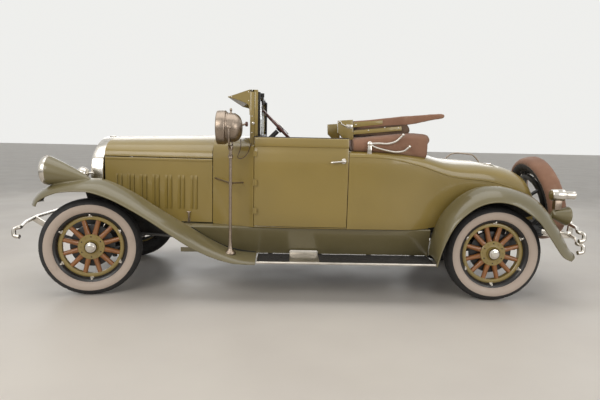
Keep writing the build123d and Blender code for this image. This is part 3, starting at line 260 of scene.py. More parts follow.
class Shape:
    """Collects faces for one piece, in metres."""

    def __init__(self):
        self.points, self.faces, self.marks, self.grain = [], [], [], []

    def add(self, points, faces, mark=0, grain=None):
        first = len(self.points)
        self.points += [tuple(p) for p in points]
        self.grain += [tuple(g) for g in (grain or points)]
        for face in faces:
            self.faces.append([first + i for i in face])
            self.marks.append(mark)

    def patch(self, rows, mark=0, around=False, along=False, caps=False, grain=None):
        """Quads over rows of points; around closes each row, along closes the last row to the first."""
        n, m = len(rows[0]), len(rows)
        faces = [(i * n + j, i * n + (j + 1) % n, (i + 1) % m * n + (j + 1) % n, (i + 1) % m * n + j)
                 for i in range(m - (not along)) for j in range(n - (not around))]
        if caps:
            faces += [tuple(range(n)), tuple(range((m - 1) * n, m * n))]
        self.add([p for row in rows for p in row], faces, mark, grain)

    def turn(self, profile, place=Matrix(), segments=48, mark=0, closed=False):
        """(along, radius) points turned about the local X axis of place."""
        rows = []
        for u, r in profile:
            ring = [(u, r * math.cos(a), r * math.sin(a))
                    for a in (2 * math.pi * k / segments for k in range(segments))]
            rows.append([place @ Vector(p) for p in ring])
        self.patch(rows, mark, around=True, along=closed)

    def tube(self, path, radius, mark=0, sides=12, caps=True, place=Matrix()):
        """A round tube along points; radius is one value or one for each point."""
        path = [place @ Vector(p) for p in path]
        radii = radius if isinstance(radius, (list, tuple)) else [radius] * len(path)
        rows, side = [], None
        for i, p in enumerate(path):
            ahead = (path[min(i + 1, len(path) - 1)] - path[max(i - 1, 0)]).normalized()
            if side is None:
                side = ahead.orthogonal().normalized()
            side = (side - ahead * side.dot(ahead)).normalized()
            up = ahead.cross(side)
            rows.append([p + radii[i] * (side * math.cos(a) + up * math.sin(a))
                         for a in (2 * math.pi * k / sides for k in range(sides))])
        self.patch(rows, mark, around=True, caps=caps)

    def lathe(self, profile, place=Matrix(), segments=48, mark=0, closed=False):
        """turn, with the profile in millimetres."""
        self.turn(scaled(profile), place, segments, mark, closed)

    def prism(self, outline, ys, mark=0):
        """An (x, z) outline in millimetres, carried from one y to the next."""
        self.patch([[mm(x, y, z) for x, z in outline] for y in ys], mark, around=True, caps=True)

    def box(self, xs, ys, zs, mark=0):
        """A block between pairs of millimetre values, of which the ys may come in either order."""
        self.slab(mm(xs[0], min(ys), zs[0]), mm(xs[1], max(ys), zs[1]), mark)

    def slab(self, low, high, mark=0, place=Matrix()):
        corners = [(x, y, z) for x in (low[0], high[0]) for y in (low[1], high[1])
                for z in (low[2], high[2])]
        self.add([place @ Vector(p) for p in corners],
                 [(0, 1, 3, 2), (4, 6, 7, 5), (0, 4, 5, 1), (2, 3, 7, 6), (0, 2, 6, 4), (1, 5, 7, 3)], mark)

    def make(self, name, looks, body="root", slot=None, bevel=0.0, angle=35, weld=True, solid=True):
        mesh = bpy.data.meshes.new(name)
        mesh.from_pydata(self.points, [], self.faces)
        grain = mesh.attributes.new("grain", "FLOAT_VECTOR", "POINT")
        grain.data.foreach_set("vector", [c for g in self.grain for c in g])
        for look in looks:
            mesh.materials.append(look)
        mesh.polygons.foreach_set("material_index", self.marks)
        if weld or solid:
            edit = bmesh.new()
            edit.from_mesh(mesh)
            if weld:
                bmesh.ops.remove_doubles(edit, verts=edit.verts, dist=2e-5)
            if solid:
                bmesh.ops.recalc_face_normals(edit, faces=edit.faces)
            edit.to_mesh(mesh)
            edit.free()
        piece = bpy.data.objects.new(name, mesh)
        bpy.context.scene.collection.objects.link(piece)
        return finish_piece(piece, body, bevel, angle)


def apply_modifiers(piece):
    graph = bpy.context.evaluated_depsgraph_get()
    made = bpy.data.meshes.new_from_object(piece.evaluated_get(graph), preserve_all_data_layers=True,
            depsgraph=graph)
    piece.modifiers.clear()
    piece.data = made


def finish_piece(piece, body, bevel=0.0, angle=35):
    if bevel:
        rounding = piece.modifiers.new("rounding", "BEVEL")
        rounding.width, rounding.segments, rounding.limit_method = bevel, 2, "ANGLE"
        rounding.angle_limit = math.radians(38)
        rounding.use_clamp_overlap = True
        apply_modifiers(piece)
    piece.data.polygons.foreach_set("use_smooth", [True] * len(piece.data.polygons))
    piece.data.set_sharp_from_angle(angle=math.radians(angle))
    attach(piece, body)
    return piece


NODE_BODY = {node: body for body, nodes in frame["record"]["behaviour"]["bodies"].items() for node in nodes}


def rounded(node, look, bevel=0.002, angle=35):
    """A finished piece for a CAD node: its own shape with eased edges."""
    mesh = frame["nodes"][node].data.copy()
    piece = bpy.data.objects.new(node + "_finished", mesh)
    bpy.context.scene.collection.objects.link(piece)
    edit = bmesh.new()
    edit.from_mesh(mesh)
    bmesh.ops.remove_doubles(edit, verts=edit.verts, dist=2e-5)
    bmesh.ops.dissolve_limit(edit, angle_limit=math.radians(0.6), verts=edit.verts, edges=edit.edges)
    edit.to_mesh(mesh)
    edit.free()
    if "custom_normal" in mesh.attributes:
        mesh.attributes.remove(mesh.attributes["custom_normal"])
    mesh.materials.clear()
    mesh.materials.append(look)
    mesh.polygons.foreach_set("material_index", [0] * len(mesh.polygons))
    finish_piece(piece, NODE_BODY[node], bevel, angle)
    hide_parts(node)
    return piece


def mm(*values):
    return tuple(v * MM for v in values)


def scaled(profile):
    return [(u * MM, r * MM) for u, r in profile]


def facing_up(x, y, z):
    """A place in millimetres whose local X axis looks up."""
    return Matrix.Translation(mm(x, y, z)) @ Matrix.Rotation(math.radians(-90), 4, "Y")


def facing_out(side, x, y, z):
    """A place in millimetres whose local X axis looks away from the car on that side."""
    return Matrix.Translation(mm(x, y, z)) @ Matrix.Rotation(side * math.radians(90), 4, "Z")


def facing_back(x, y, z):
    """A place in millimetres whose local X axis looks to the rear."""
    return Matrix.Translation(mm(x, y, z)) @ Matrix.Rotation(math.pi, 4, "Z")


def span(side, *values):
    """Distances out from the centre line, as y values on that side, lowest first."""
    return sorted(side * value for value in values)


def smooth(rows, steps):
    """A finer table: a Catmull-Rom curve through rows of numbers, steps to each run."""
    fine = []
    for i in range(len(rows) - 1):
        a, b, c, d = rows[max(i - 1, 0)], rows[i], rows[i + 1], rows[min(i + 2, len(rows) - 1)]
        for k in range(steps):
            t = k / steps
            fine.append(tuple(
                0.5 * (2 * q + (r - p) * t + (2 * p - 5 * q + 4 * r - s) * t * t
                        + (3 * q - p - 3 * r + s) * t ** 3)
                for p, q, r, s in zip(a, b, c, d)))
    return fine + [tuple(map(float, rows[-1]))]


def at(rows, x, column):
    """A value at x from a table whose first column goes down."""
    for high, low in zip(rows, rows[1:]):
        if low[0] <= x <= high[0]:
            share = (x - low[0]) / (high[0] - low[0])
            return low[column] + share * (high[column] - low[column])
    return rows[0][column] if x > rows[0][0] else rows[-1][column]


def cut(piece, low, high):
    """Takes a box out of a piece."""
    shape = Shape()
    shape.slab(low, high)
    mesh = bpy.data.meshes.new("cutter")
    mesh.from_pydata(shape.points, [], shape.faces)
    edit = bmesh.new()
    edit.from_mesh(mesh)
    bmesh.ops.recalc_face_normals(edit, faces=edit.faces)
    edit.to_mesh(mesh)
    edit.free()
    cutter = bpy.data.objects.new("cutter", mesh)
    bpy.context.scene.collection.objects.link(cutter)
    taking = piece.modifiers.new("cut", "BOOLEAN")
    taking.operation, taking.object, taking.solver = "DIFFERENCE", cutter, "EXACT"
    bpy.context.view_layer.update()
    apply_modifiers(piece)
    bpy.data.objects.remove(cutter)


# ---- wheels and tyres ----

HALF_BASE, KINGPIN_Y, SCRUB, TYRE_R = 1.7525, 0.610, 0.096, 0.419
STEER = math.radians(11.4)


def wheel_place(front, side):
    turn = STEER if front else 0.0
    out = Vector((-math.sin(turn), math.cos(turn), 0)) * side
    x = (HALF_BASE if front else -HALF_BASE)
    centre = Vector((x, side * KINGPIN_Y, TYRE_R)) + out * SCRUB
    up = Vector((0, 0, 1))
    across = up.cross(out)
    return Matrix.Translation(centre) @ Matrix((out, across, up)).transposed().to_4x4()


SIDEWALL = smooth([
    # half width, radius
    (44, 292), (54, 296), (66, 305), (76, 320), (82, 336), (84, 352), (82, 368), (77, 382), (69, 394),
            (61, 403),
    (56, 408)], 3)
BAND_LOW, BAND_HIGH = 304.0, 369.0
TREAD = [
    # across, depth below the crown of the tread
    (52, 1.0), (38, 0.0), (37, 5.0), (32, 5.0), (31, 0.0), (14, 0.0), (13, 5.0), (8, 5.0), (7, 0.0)]
TREAD_SEGMENTS = 180


def crown(across):
    return 419.0 - 8.5 * (across / 56.0) ** 2


def tyre_shape(place):
    shape = Shape()
    for flip, white in ((1, 1), (-1, 0)):  # the outboard wall is white, the inboard one black
        for low, high, mark, lift in ((0, BAND_LOW, 0, 0), (BAND_LOW, BAND_HIGH, white, 1.2),
                (BAND_HIGH, 500, 0, 0)):
            band = [(flip * (w + lift) * MM, r * MM) for w, r in SIDEWALL if low <= r <= high]
            shape.turn(band, place, 96, mark)
        for edge in (BAND_LOW, BAND_HIGH):
            near = sorted(SIDEWALL, key=lambda p: abs(p[1] - edge))[:2]
            inner, outer = sorted(near, key=lambda p: p[1])
            lifts = (0, 1.2) if edge == BAND_LOW else (1.2, 0)
            shape.turn([(flip * (inner[0] + lifts[0]) * MM, inner[1] * MM),
                        (flip * (outer[0] + lifts[1]) * MM, outer[1] * MM)], place, 96, white)
        for low, width in ((314.0, 0.9), (373.0, 1.6)):
            w = min(SIDEWALL, key=lambda p: abs(p[1] - low))[0] + 0.7
            shape.turn([(flip * w * MM, (low - 2) * MM), (flip * (w + width) * MM, low * MM),
                        (flip * w * MM, (low + 2) * MM)], place, 96, white if low < BAND_HIGH else 0)
    across = TREAD + [(-w, d) for w, d in TREAD[::-1]]
    rows = []
    for w, depth in [(56.0, 2.8)] + across + [(-56.0, 2.8)]:
        ring = []
        for k in range(TREAD_SEGMENTS):
            a = 2 * math.pi * k / TREAD_SEGMENTS
            notch = 4.0 if abs(w) > 36 and k % 6 == 0 else 0.0
            shift = 1.6 * (1 if k % 6 < 3 else -1) if abs(w) < 33 else 0.0
            r = (crown(abs(w)) - depth - notch) * MM
            ring.append(place @ Vector(((w + shift) * MM, r * math.cos(a), r * math.sin(a))))
        rows.append(ring)
    shape.patch(rows, 0, around=True)
    shape.lathe([(44, 292), (-44, 292)], place, 96)
    return shape


def spoke(shape, place, angle, mark):
    """One wooden spoke: square-shouldered at the hub, oval in the middle, a round tenon at the felloe."""
    rows, grain = [], []
    stations = smooth([
        # radius, half width across, half depth, squareness
        (70, 22, 24, 0.9), (100, 23, 24, 0.8), (118, 22.5, 23, 0.3), (150, 21.5, 21, 0.0),
                (200, 20, 19, 0.0),
        (226, 19.5, 19, 0.0), (242, 19.5, 19, 0.1)], 3)
    c, s = math.cos(angle), math.sin(angle)
    for r, half, depth, square in stations:
        row = []
        for k in range(16):
            a = 2 * math.pi * k / 16
            u, v = math.cos(a), math.sin(a)
            reach = 1 + square * (1 / max(abs(u), abs(v)) - 1) * 0.8
            t, d = half * u * reach * MM, depth * v * reach * MM
            row.append(place @ Vector((d, r * MM * c - t * s, r * MM * s + t * c)))
            grain.append((t + angle * 3, d, r * MM + angle * 7))
        rows.append(row)
    shape.patch(rows, mark, around=True, caps=True, grain=grain)


HUB_PROFILE = [
    # outboard offset, radius
    (-36, 60), (-36, 74), (-22, 76), (18, 78), (22, 104), (24, 109), (30, 109.5), (33, 106), (34, 70),
            (36, 62),
    (42, 58), (50, 56), (56, 50)]
CAP_PROFILE = [(50, 46), (58, 46), (62, 45), (66, 43), (68, 38), (69, 31), (75, 30), (77, 27), (78.5, 18),
        (79, 0.5)]
FELLOE_PROFILE = [(-26, 240), (-22, 235.5), (22, 235.5), (26, 240), (27, 250), (26, 262), (22, 268),
        (-22, 268), (-26, 262), (-27, 250)]
RIM_PROFILE = [(-40, 268), (30, 268), (34, 272), (46, 276), (56, 288), (61, 300), (60, 304), (56, 303),
        (50, 293),
               (44, 288), (-44, 288), (-50, 293), (-56, 303), (-60, 304), (-61, 300), (-56, 288),
                       (-46, 276)]
DRUM_PROFILE = [(-26, 60), (-26, 171), (-30, 183), (-40, 184), (-44, 181), (-48, 184), (-54, 181),
        (-58, 184), (-66, 183),
                (-68, 176), (-62, 171)]


def wheel_shape(place):
    """Marks: 0 gold, 1 wood, 2 black, 3 nickel, 4 drum."""
    shape = Shape()
    shape.lathe(FELLOE_PROFILE, place, 96, 0, closed=True)
    shape.lathe(RIM_PROFILE, place, 96, 2, closed=True)
    shape.lathe(HUB_PROFILE, place, 64, 0)
    shape.lathe(CAP_PROFILE, place, 48, 3)
    shape.lathe(DRUM_PROFILE, place, 72, 4)
    shape.lathe([(-36, 24), (-36, 60)], place, 48, 2)
    for k in range(12):
        spoke(shape, place, math.radians(15 + 30 * k), 1)
        a = math.radians(30 * k)
        bolt = place @ Matrix.Rotation(a, 4, "X") @ Matrix.Translation((0, 0.088, 0))
        shape.lathe([(32, 5.5), (38, 5.5), (40, 4), (40.5, 0.4)], bolt, 6, 2 if k % 2 else 0)
    for k in range(6):
        lug = place @ Matrix.Rotation(math.radians(30 + 60 * k), 4, "X") @ Matrix.Translation((0, 0.279, 0))
        shape.slab(mm(24, -18, -15), mm(33, 13, 15), 3, lug)
        shape.slab(mm(30, -2, -11), mm(47, 12, 11), 3, lug)
        shape.lathe([(32, 13), (46, 13), (49, 10), (49, 7), (58, 7), (59, 5), (59, 0.4)], lug, 6, 3)
    valve = place @ Matrix.Rotation(math.radians(60), 4, "X") @ Matrix.Translation((0, 0.236, 0))
    shape.tube([(0, 0, 0), (0.012, -0.020, 0), (0.018, -0.036, 0)], [0.0045, 0.0045, 0.0035], 3, 8,
            place=valve)
    return shape


for front, word in ((True, "front"), (False, "rear")):
    for side, hand in SIDES:
        place = wheel_place(front, side)
        body = f"wheel_{word}_{hand}"
        tyre = tyre_shape(place).make(f"tyre_{word}_{hand}_dressed", [RUBBER, WHITEWALL], body, "tyre")
        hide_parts(f"tyre_{word}_{hand}")
        wheel = wheel_shape(place).make(f"wheel_{word}_{hand}_dressed",
                                        [GOLD, SPOKE_WOOD, SATIN_BLACK, NICKEL, FRAME_BLACK], body,
                                                "spoke_wood")
        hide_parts(f"wheel_{word}_{hand}")


# ---- fenders ----

FRONT_FENDER = (
    # crown x, crown z, edge x, edge z, share of the inner edge's drop
    (2186, 800, 2098, 792, 0.1), (2160, 862, 2076, 832, 0.25), (2086, 931, 2020, 868, 0.6),
    (1960, 975, 1935, 901, 0.9), (1834, 997, 1849, 913, 1), (1709, 1008, 1760, 917, 1),
    (1593, 996, 1649, 910, 1), (1461, 943, 1491, 857, 1), (1337, 877, 1331, 775, 1),
            (1213, 797, 1171, 680, 1),
    (1046, 695, 1010, 572, 1), (877, 594, 847, 470, 1), (750, 518, 683, 394, 1), (622, 451, 517, 345, 0.9),
    (494, 402, 410, 336, 0.7), (310, 380, 310, 334, 0.4),
)
REAR_FENDER = (
    (-1222, 380, -1214, 334, 0.4), (-1224, 500, -1240, 440, 1), (-1248, 619, -1276, 543, 1),
    (-1302, 752, -1328, 654, 1), (-1390, 866, -1397, 747, 1), (-1498, 951, -1500, 833, 1),
    (-1624, 1001, -1608, 880, 1), (-1771, 1008, -1725, 892, 1), (-1903, 984, -1846, 866, 1),
    (-2024, 944, -1955, 807, 1), (-2115, 888, -2052, 733, 1), (-2202, 802, -2114, 657, 1),
    (-2268, 714, -2186, 559, 0.9), (-2337, 602, -2266, 452, 0.7), (-2390, 506, -2312, 420, 0.5),
    (-2440, 440, -2352, 405, 0.3),
)
FENDER_BANDS = smooth([
    # y, share of the way from the crown to the outer edge, drop below that
    (600, 0.0, 58), (622, 0.0, 34), (645, 0.0, 17), (680, 0.0, 4), (720, 0.0, 0), (762, 0.06, 0),
    (800, 0.16, 0), (836, 0.30, 0), (870, 0.50, 0), (895, 0.74, 0), (911, 0.985, 0)], 3)
FENDER_STEPS = 5
SHEET = 0.0035
VALANCE_STEPS = 8


def fender_grid(stations, side):
    fine = smooth(stations, FENDER_STEPS)
    return [[Vector(mm(cx + (ex - cx) * share, side * y, cz + (ez - cz) * share - drop * rolled))
             for y, share, drop in FENDER_BANDS] for cx, cz, ex, ez, rolled in fine]


def fender_top(stations, x, y):
    """Height of a fender's surface at (x, y), in millimetres."""
    band = min(FENDER_BANDS, key=lambda b: abs(b[0] - y))
    curve = [(cx + (ex - cx) * band[1], cz + (ez - cz) * band[1] - band[2] * rolled)
             for cx, cz, ex, ez, rolled in smooth(stations, 4)]
    return at(curve, x, 1)


def thicken(piece, thickness, offset=-1.0, lining=0):
    """Gives an open sheet its thickness; lining is how many materials further on its back face takes."""
    skin = piece.modifiers.new("skin", "SOLIDIFY")
    skin.thickness, skin.offset, skin.use_even_offset = thickness, offset, True
    skin.material_offset = lining
    apply_modifiers(piece)


def finish_sheet(piece, body, thickness, node=None, bevel=0.0, cuts=()):
    """Gives a sheet its thickness and openings, then its edges; it may take a CAD node's place."""
    thicken(piece, thickness, lining=1)
    for low, high in cuts:
        cut(piece, low, high)
    finish_piece(piece, body, bevel=bevel)
    if node:
        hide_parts(node)


def face_up(piece):
    """Turns an open sheet's faces so that most of them look up."""
    if sum(p.normal.z * p.area for p in piece.data.polygons) <= 0:
        piece.data.flip_normals()


def face_from(piece, centre):
    """Turns an open sheet's faces so that most of them look away from a point."""
    centre = Vector(centre)
    total = sum((p.center - centre).dot(p.normal) * p.area for p in piece.data.polygons)
    if total < 0:
        piece.data.flip_normals()


def front_foot(x):
    return 418 + max(0, 1722 - x) * 0.103, 602.0


REAR_BODY = [
    # x, half width at the sill, half width at the belt, belt z, crown z, floor z
    (-470.0, 699.0, 723.0, 1240.0, 1302.0, 604.0), (-800.0, 690.0, 712.0, 1230.0, 1300.0, 604.0),
    (-1100.0, 655.0, 676.0, 1170.0, 1288.0, 604.0), (-1400.0, 590.0, 610.0, 1080.0, 1220.0, 640.0),
    (-1752.0, 530.0, 550.0, 1040.0, 1197.0, 660.0), (-2000.0, 460.0, 478.0, 980.0, 1152.0, 660.0),
    (-2180.0, 380.0, 392.0, 900.0, 1070.0, 660.0), (-2300.0, 300.0, 300.0, 800.0, 905.0, 660.0),
]


def rear_foot(x):
    return at(REAR_BODY, x, 1) - 4, 686.0


def valance(name, stations, side, low, high, foot):
    """The sheet from a fender's inner edge down to the frame or the body."""
    rows = []
    for cx, cz, ex, ez, rolled in smooth(stations, FENDER_STEPS):
        if low <= cx <= high:
            top_y, top_z = 601.0, cz - 56 * rolled
            foot_y, foot_z = foot(cx)
            if top_z > foot_z + 12:
                row = []
                for k in range(VALANCE_STEPS + 1):
                    t = k / VALANCE_STEPS
                    dish = 14 * math.sin(math.pi * t)
                    row.append(mm(cx, side * (top_y + (foot_y - top_y) * t - dish), top_z
                            + (foot_z - top_z) * t))
                rows.append(row)
    shape = Shape()
    shape.patch(rows)
    piece = shape.make(name, [OLIVE, UNDERCOAT], solid=False, slot="fender_olive")
    total = sum(p.normal.y * side * p.area for p in piece.data.polygons)
    if total > 0:
        piece.data.flip_normals()
    finish_sheet(piece, "root", 0.0025)


BEAD = 0.0055
LAMP_X, LAMP_Y, LAMP_Z = 2047.0, 745.0, 1070.0
POD = smooth([
    # x, centre z, radius
    (1706, 990, 14), (1740, 998, 32), (1800, 1012, 55), (1880, 1031, 80), (1960, 1050, 101),
            (2020, 1064, 115),
    (2040, 1069, 118), (LAMP_X - 1, LAMP_Z, 118)], 3)

for side, hand in SIDES:
    grid = fender_grid(FRONT_FENDER, side)
    shape = Shape()
    shape.patch(grid)
    fender = shape.make(f"front_fender_{hand}_skin", [OLIVE, UNDERCOAT], solid=False, slot="fender_olive")
    face_up(fender)
    finish_sheet(fender, "root", SHEET, f"front_fender_{hand}")
    trims = Shape()
    trims.tube([row[-1] + Vector((0, -side * 0.002, -0.002)) for row in grid], BEAD, sides=10)
    trims.tube([p + Vector((-0.003, 0, -0.002)) for p in grid[0]], BEAD, sides=10)
    rows = []
    for x, z, r in POD:
        ring = []
        for k in range(64):
            a = 2 * math.pi * k / 64
            ridge_lift = 1 + 0.035 * max(0, math.cos(a)) ** 40
            ring.append(mm(x, side * LAMP_Y + r * math.sin(a) * side * ridge_lift, z
                    + r * math.cos(a) * ridge_lift))
        rows.append(ring)
    trims.patch(rows, around=True)
    for edge in (1, -1):
        fillet = []
        for x, z, r in POD[2:-4]:
            best = None
            for k in range(40, 180):
                a = math.radians(k)
                y = LAMP_Y + edge * r * math.sin(a)
                if z + r * math.cos(a) <= fender_top(FRONT_FENDER, x, y):
                    best = k
                    break
            if best is None:
                continue
            a, high = math.radians(best), math.radians(best - 16)
            join = Vector((x, LAMP_Y + edge * r * math.sin(a), z + r * math.cos(a)))
            top = Vector((x, LAMP_Y + edge * r * math.sin(high), z + r * math.cos(high)))
            foot_y = join.y + edge * 20
            foot = Vector((x, foot_y, fender_top(FRONT_FENDER, x, foot_y) - 0.3))
            row = []
            for k in range(7):
                t = k / 6
                p = top * (1 - t) ** 2 + join * 2 * t * (1 - t) + foot * t * t
                row.append(mm(p.x, side * p.y, p.z))
            fillet.append(row)
        if len(fillet) > 1:
            trims.patch(fillet)
    trims.make(f"front_fender_{hand}_pod", [OLIVE], slot="fender_olive", solid=False)
    valance(f"front_valance_{hand}", FRONT_FENDER, side, 1000, 1834, front_foot)

    grid = fender_grid(REAR_FENDER, side)
    shape = Shape()
    shape.patch(grid)
    fender = shape.make(f"rear_fender_{hand}_skin", [OLIVE, UNDERCOAT], solid=False, slot="fender_olive")
    face_up(fender)
    finish_sheet(fender, "root", SHEET, f"rear_fender_{hand}")
    edge = Shape()
    edge.tube([row[-1] + Vector((0, -side * 0.002, -0.002)) for row in grid], BEAD, sides=10)
    edge.tube([p + Vector((0.002, 0, 0.004)) for p in grid[-1]], BEAD, sides=10)
    edge.make(f"rear_fender_{hand}_bead", [OLIVE], slot="fender_olive")
    valance(f"rear_valance_{hand}", REAR_FENDER, side, -2214, -1300, rear_foot)


# ---- body panels ----

def arch(belt, belt_z, crown_z, power, steps=16):
    """(y, z) points from the belt up to the crown, on a rounded-square curve."""
    points = []
    for k in range(steps + 1):
        a = math.pi / 2 * k / steps
        points.append((belt * max(math.cos(a), 0) ** (2 / power), belt_z
                + (crown_z - belt_z) * math.sin(a) ** (2 / power)))
    return points


def hull_outline(sill, belt, belt_z, crown_z, floor_z, power):
    side = [(sill + (belt - sill) * t / 6, floor_z + (belt_z - floor_z) * t / 6) for t in range(6)]
    half = side + arch(belt, belt_z, crown_z, power)
    return half + [(-y, z) for y, z in half[-2::-1]]


def hull_rows(stations, power, steps=5):
    return [[mm(row[0], y, z) for y, z in hull_outline(*row[1:6], power)]
            for row in smooth(stations, steps)]


COWL = [
    (722.0, 508.0, 500.0, 1186.0, 1386.0, 604.0), (560.0, 580.0, 590.0, 1210.0, 1392.0, 604.0),
    (347.0, 668.0, 690.0, 1236.0, 1396.0, 604.0),
]
WALL = 0.022

shape = Shape()
shape.patch(hull_rows(COWL, 3.2, 8))
cowl = shape.make("cowl_skin", [GOLD, SATIN_BLACK], solid=False, slot="body_gold")
face_from(cowl, (0.5, 0, 0.9))
finish_sheet(cowl, "root", WALL, "cowl")
shape = Shape()
inner = [(y * 0.955, 604 + (z - 604) * 0.97) for y, z in hull_outline(*COWL[0][1:6], 3.2)]
shape.patch([[mm(x, y, z) for y, z in inner] for x in (720, 693)], around=True, caps=True)
for x, y, z, w, h in ((719, 300, 1000, 60, 90), (719, -280, 1080, 45, 60), (719, -300, 820, 70, 50)):
    shape.slab(mm(x, y - w, z - h), mm(x + 12, y + w, z + h), 1)
firewall = shape.make("firewall", [SATIN_BLACK, STEEL], slot="black_frame", bevel=0.003)
cut(firewall, (0.68, -0.165, 0.46), (0.735, 0.165, 0.815))
finish_piece(firewall, "root")

shape = Shape()
shape.patch(hull_rows(REAR_BODY, 3.0))
tail = hull_outline(*REAR_BODY[-1][1:6], 3.0)
shape.patch([[mm(-2300 - 9 * (1 - s * s), y * s, 780 + (z - 780) * s) for y, z in tail]
        for s in (1, 0.94, 0.8, 0.5, 0.02)])
rear = shape.make("body_rear_skin", [GOLD, CARPET], solid=False, slot="body_gold")
face_from(rear, (-1.3, 0, 0.9))
CABIN_OPENING = ((-1.010, -0.640, 1.150), (-0.40, 0.640, 1.40))
RUMBLE_OPENING = ((-1.880, -0.375, 1.050), (-1.285, 0.375, 1.40))
finish_sheet(rear, "root", WALL, "body_rear", 0.003, (CABIN_OPENING, RUMBLE_OPENING))
shape = Shape()
shape.slab((-0.471, -0.610, 0.604), (0.3467, 0.610, 0.626), 1)
for side, hand in SIDES:
    sill = [(346.7, 600), (346.7, 664), (0, 688), (-471, 695), (-471, 600)]
    shape.patch([[mm(x, side * y, z) for x, y in sill] for z in (604, 610)], around=True, caps=True)
    shape.box((-460, 340), span(side, 612, 660), (610, 613), 2)
shape.make("cabin_floor", [GOLD, CARPET, ALUMINIUM], slot="body_gold", bevel=0.001)

# a raised moulding along the belt of the quarters
shape = Shape()
for side, hand in SIDES:
    line = []
    for x, sill, belt, belt_z, crown_z, floor_z in smooth(REAR_BODY[:6], 6):
        line.append(mm(x, side * (belt - 0.5), belt_z - 4))
    shape.tube(line, 0.0055, sides=10)
shape.make("quarter_mouldings", [GOLD], slot="body_gold")

LID = smooth([(-1290.0, 1245.0), (-1400.0, 1219.0), (-1640.0, 1203.0), (-1752.0, 1196.0),
        (-1875.0, 1173.0)], 5)
shape = Shape()
shape.patch([[mm(x, 370 * t / 12, crown - 0.5 - 17 * (t / 12) ** 2) for t in range(-12, 13)] for x,
        crown in LID])
lid = shape.make("rumble_lid_skin", [GOLD, LEATHER], "rumble_lid", solid=False, slot="body_gold")
face_up(lid)
finish_sheet(lid, "rumble_lid", 0.020, "rumble_lid", 0.003)
shape = Shape()
shape.lathe([(0, 16), (5, 15), (7, 10), (7.5, 0.4)], Matrix.Translation((-1.322, 0,
        1.2355)) @ Matrix.Rotation(math.radians(-92), 4, "Y"), 32)
shape.tube([mm(-1322, 0, 1240), mm(-1322, 0, 1256)], 0.006, sides=12)
shape.tube([mm(-1322, -38, 1259), mm(-1322, -16, 1258), mm(-1322, 0, 1258), mm(-1322, 16, 1258),
        mm(-1322, 38, 1259)],
           [0.003, 0.006, 0.0065, 0.006, 0.003], sides=12)
for y in (-260, 260):
    shape.slab(mm(-1868, y - 22, 1168), mm(-1806, y + 22, 1186))
shape.make("rumble_lid_handle", [NICKEL], "rumble_lid", slot="nickel", bevel=0.0015)


# ---- doors ----

DOOR = smooth([
    # x, half width at the bottom, at the belt, under the moulding, at the top
    (341.0, 669.0, 692.0, 680.0, 676.0), (0.0, 692.0, 716.0, 705.0, 700.0),
            (-464.0, 697.0, 722.0, 710.0, 704.0)], 8)

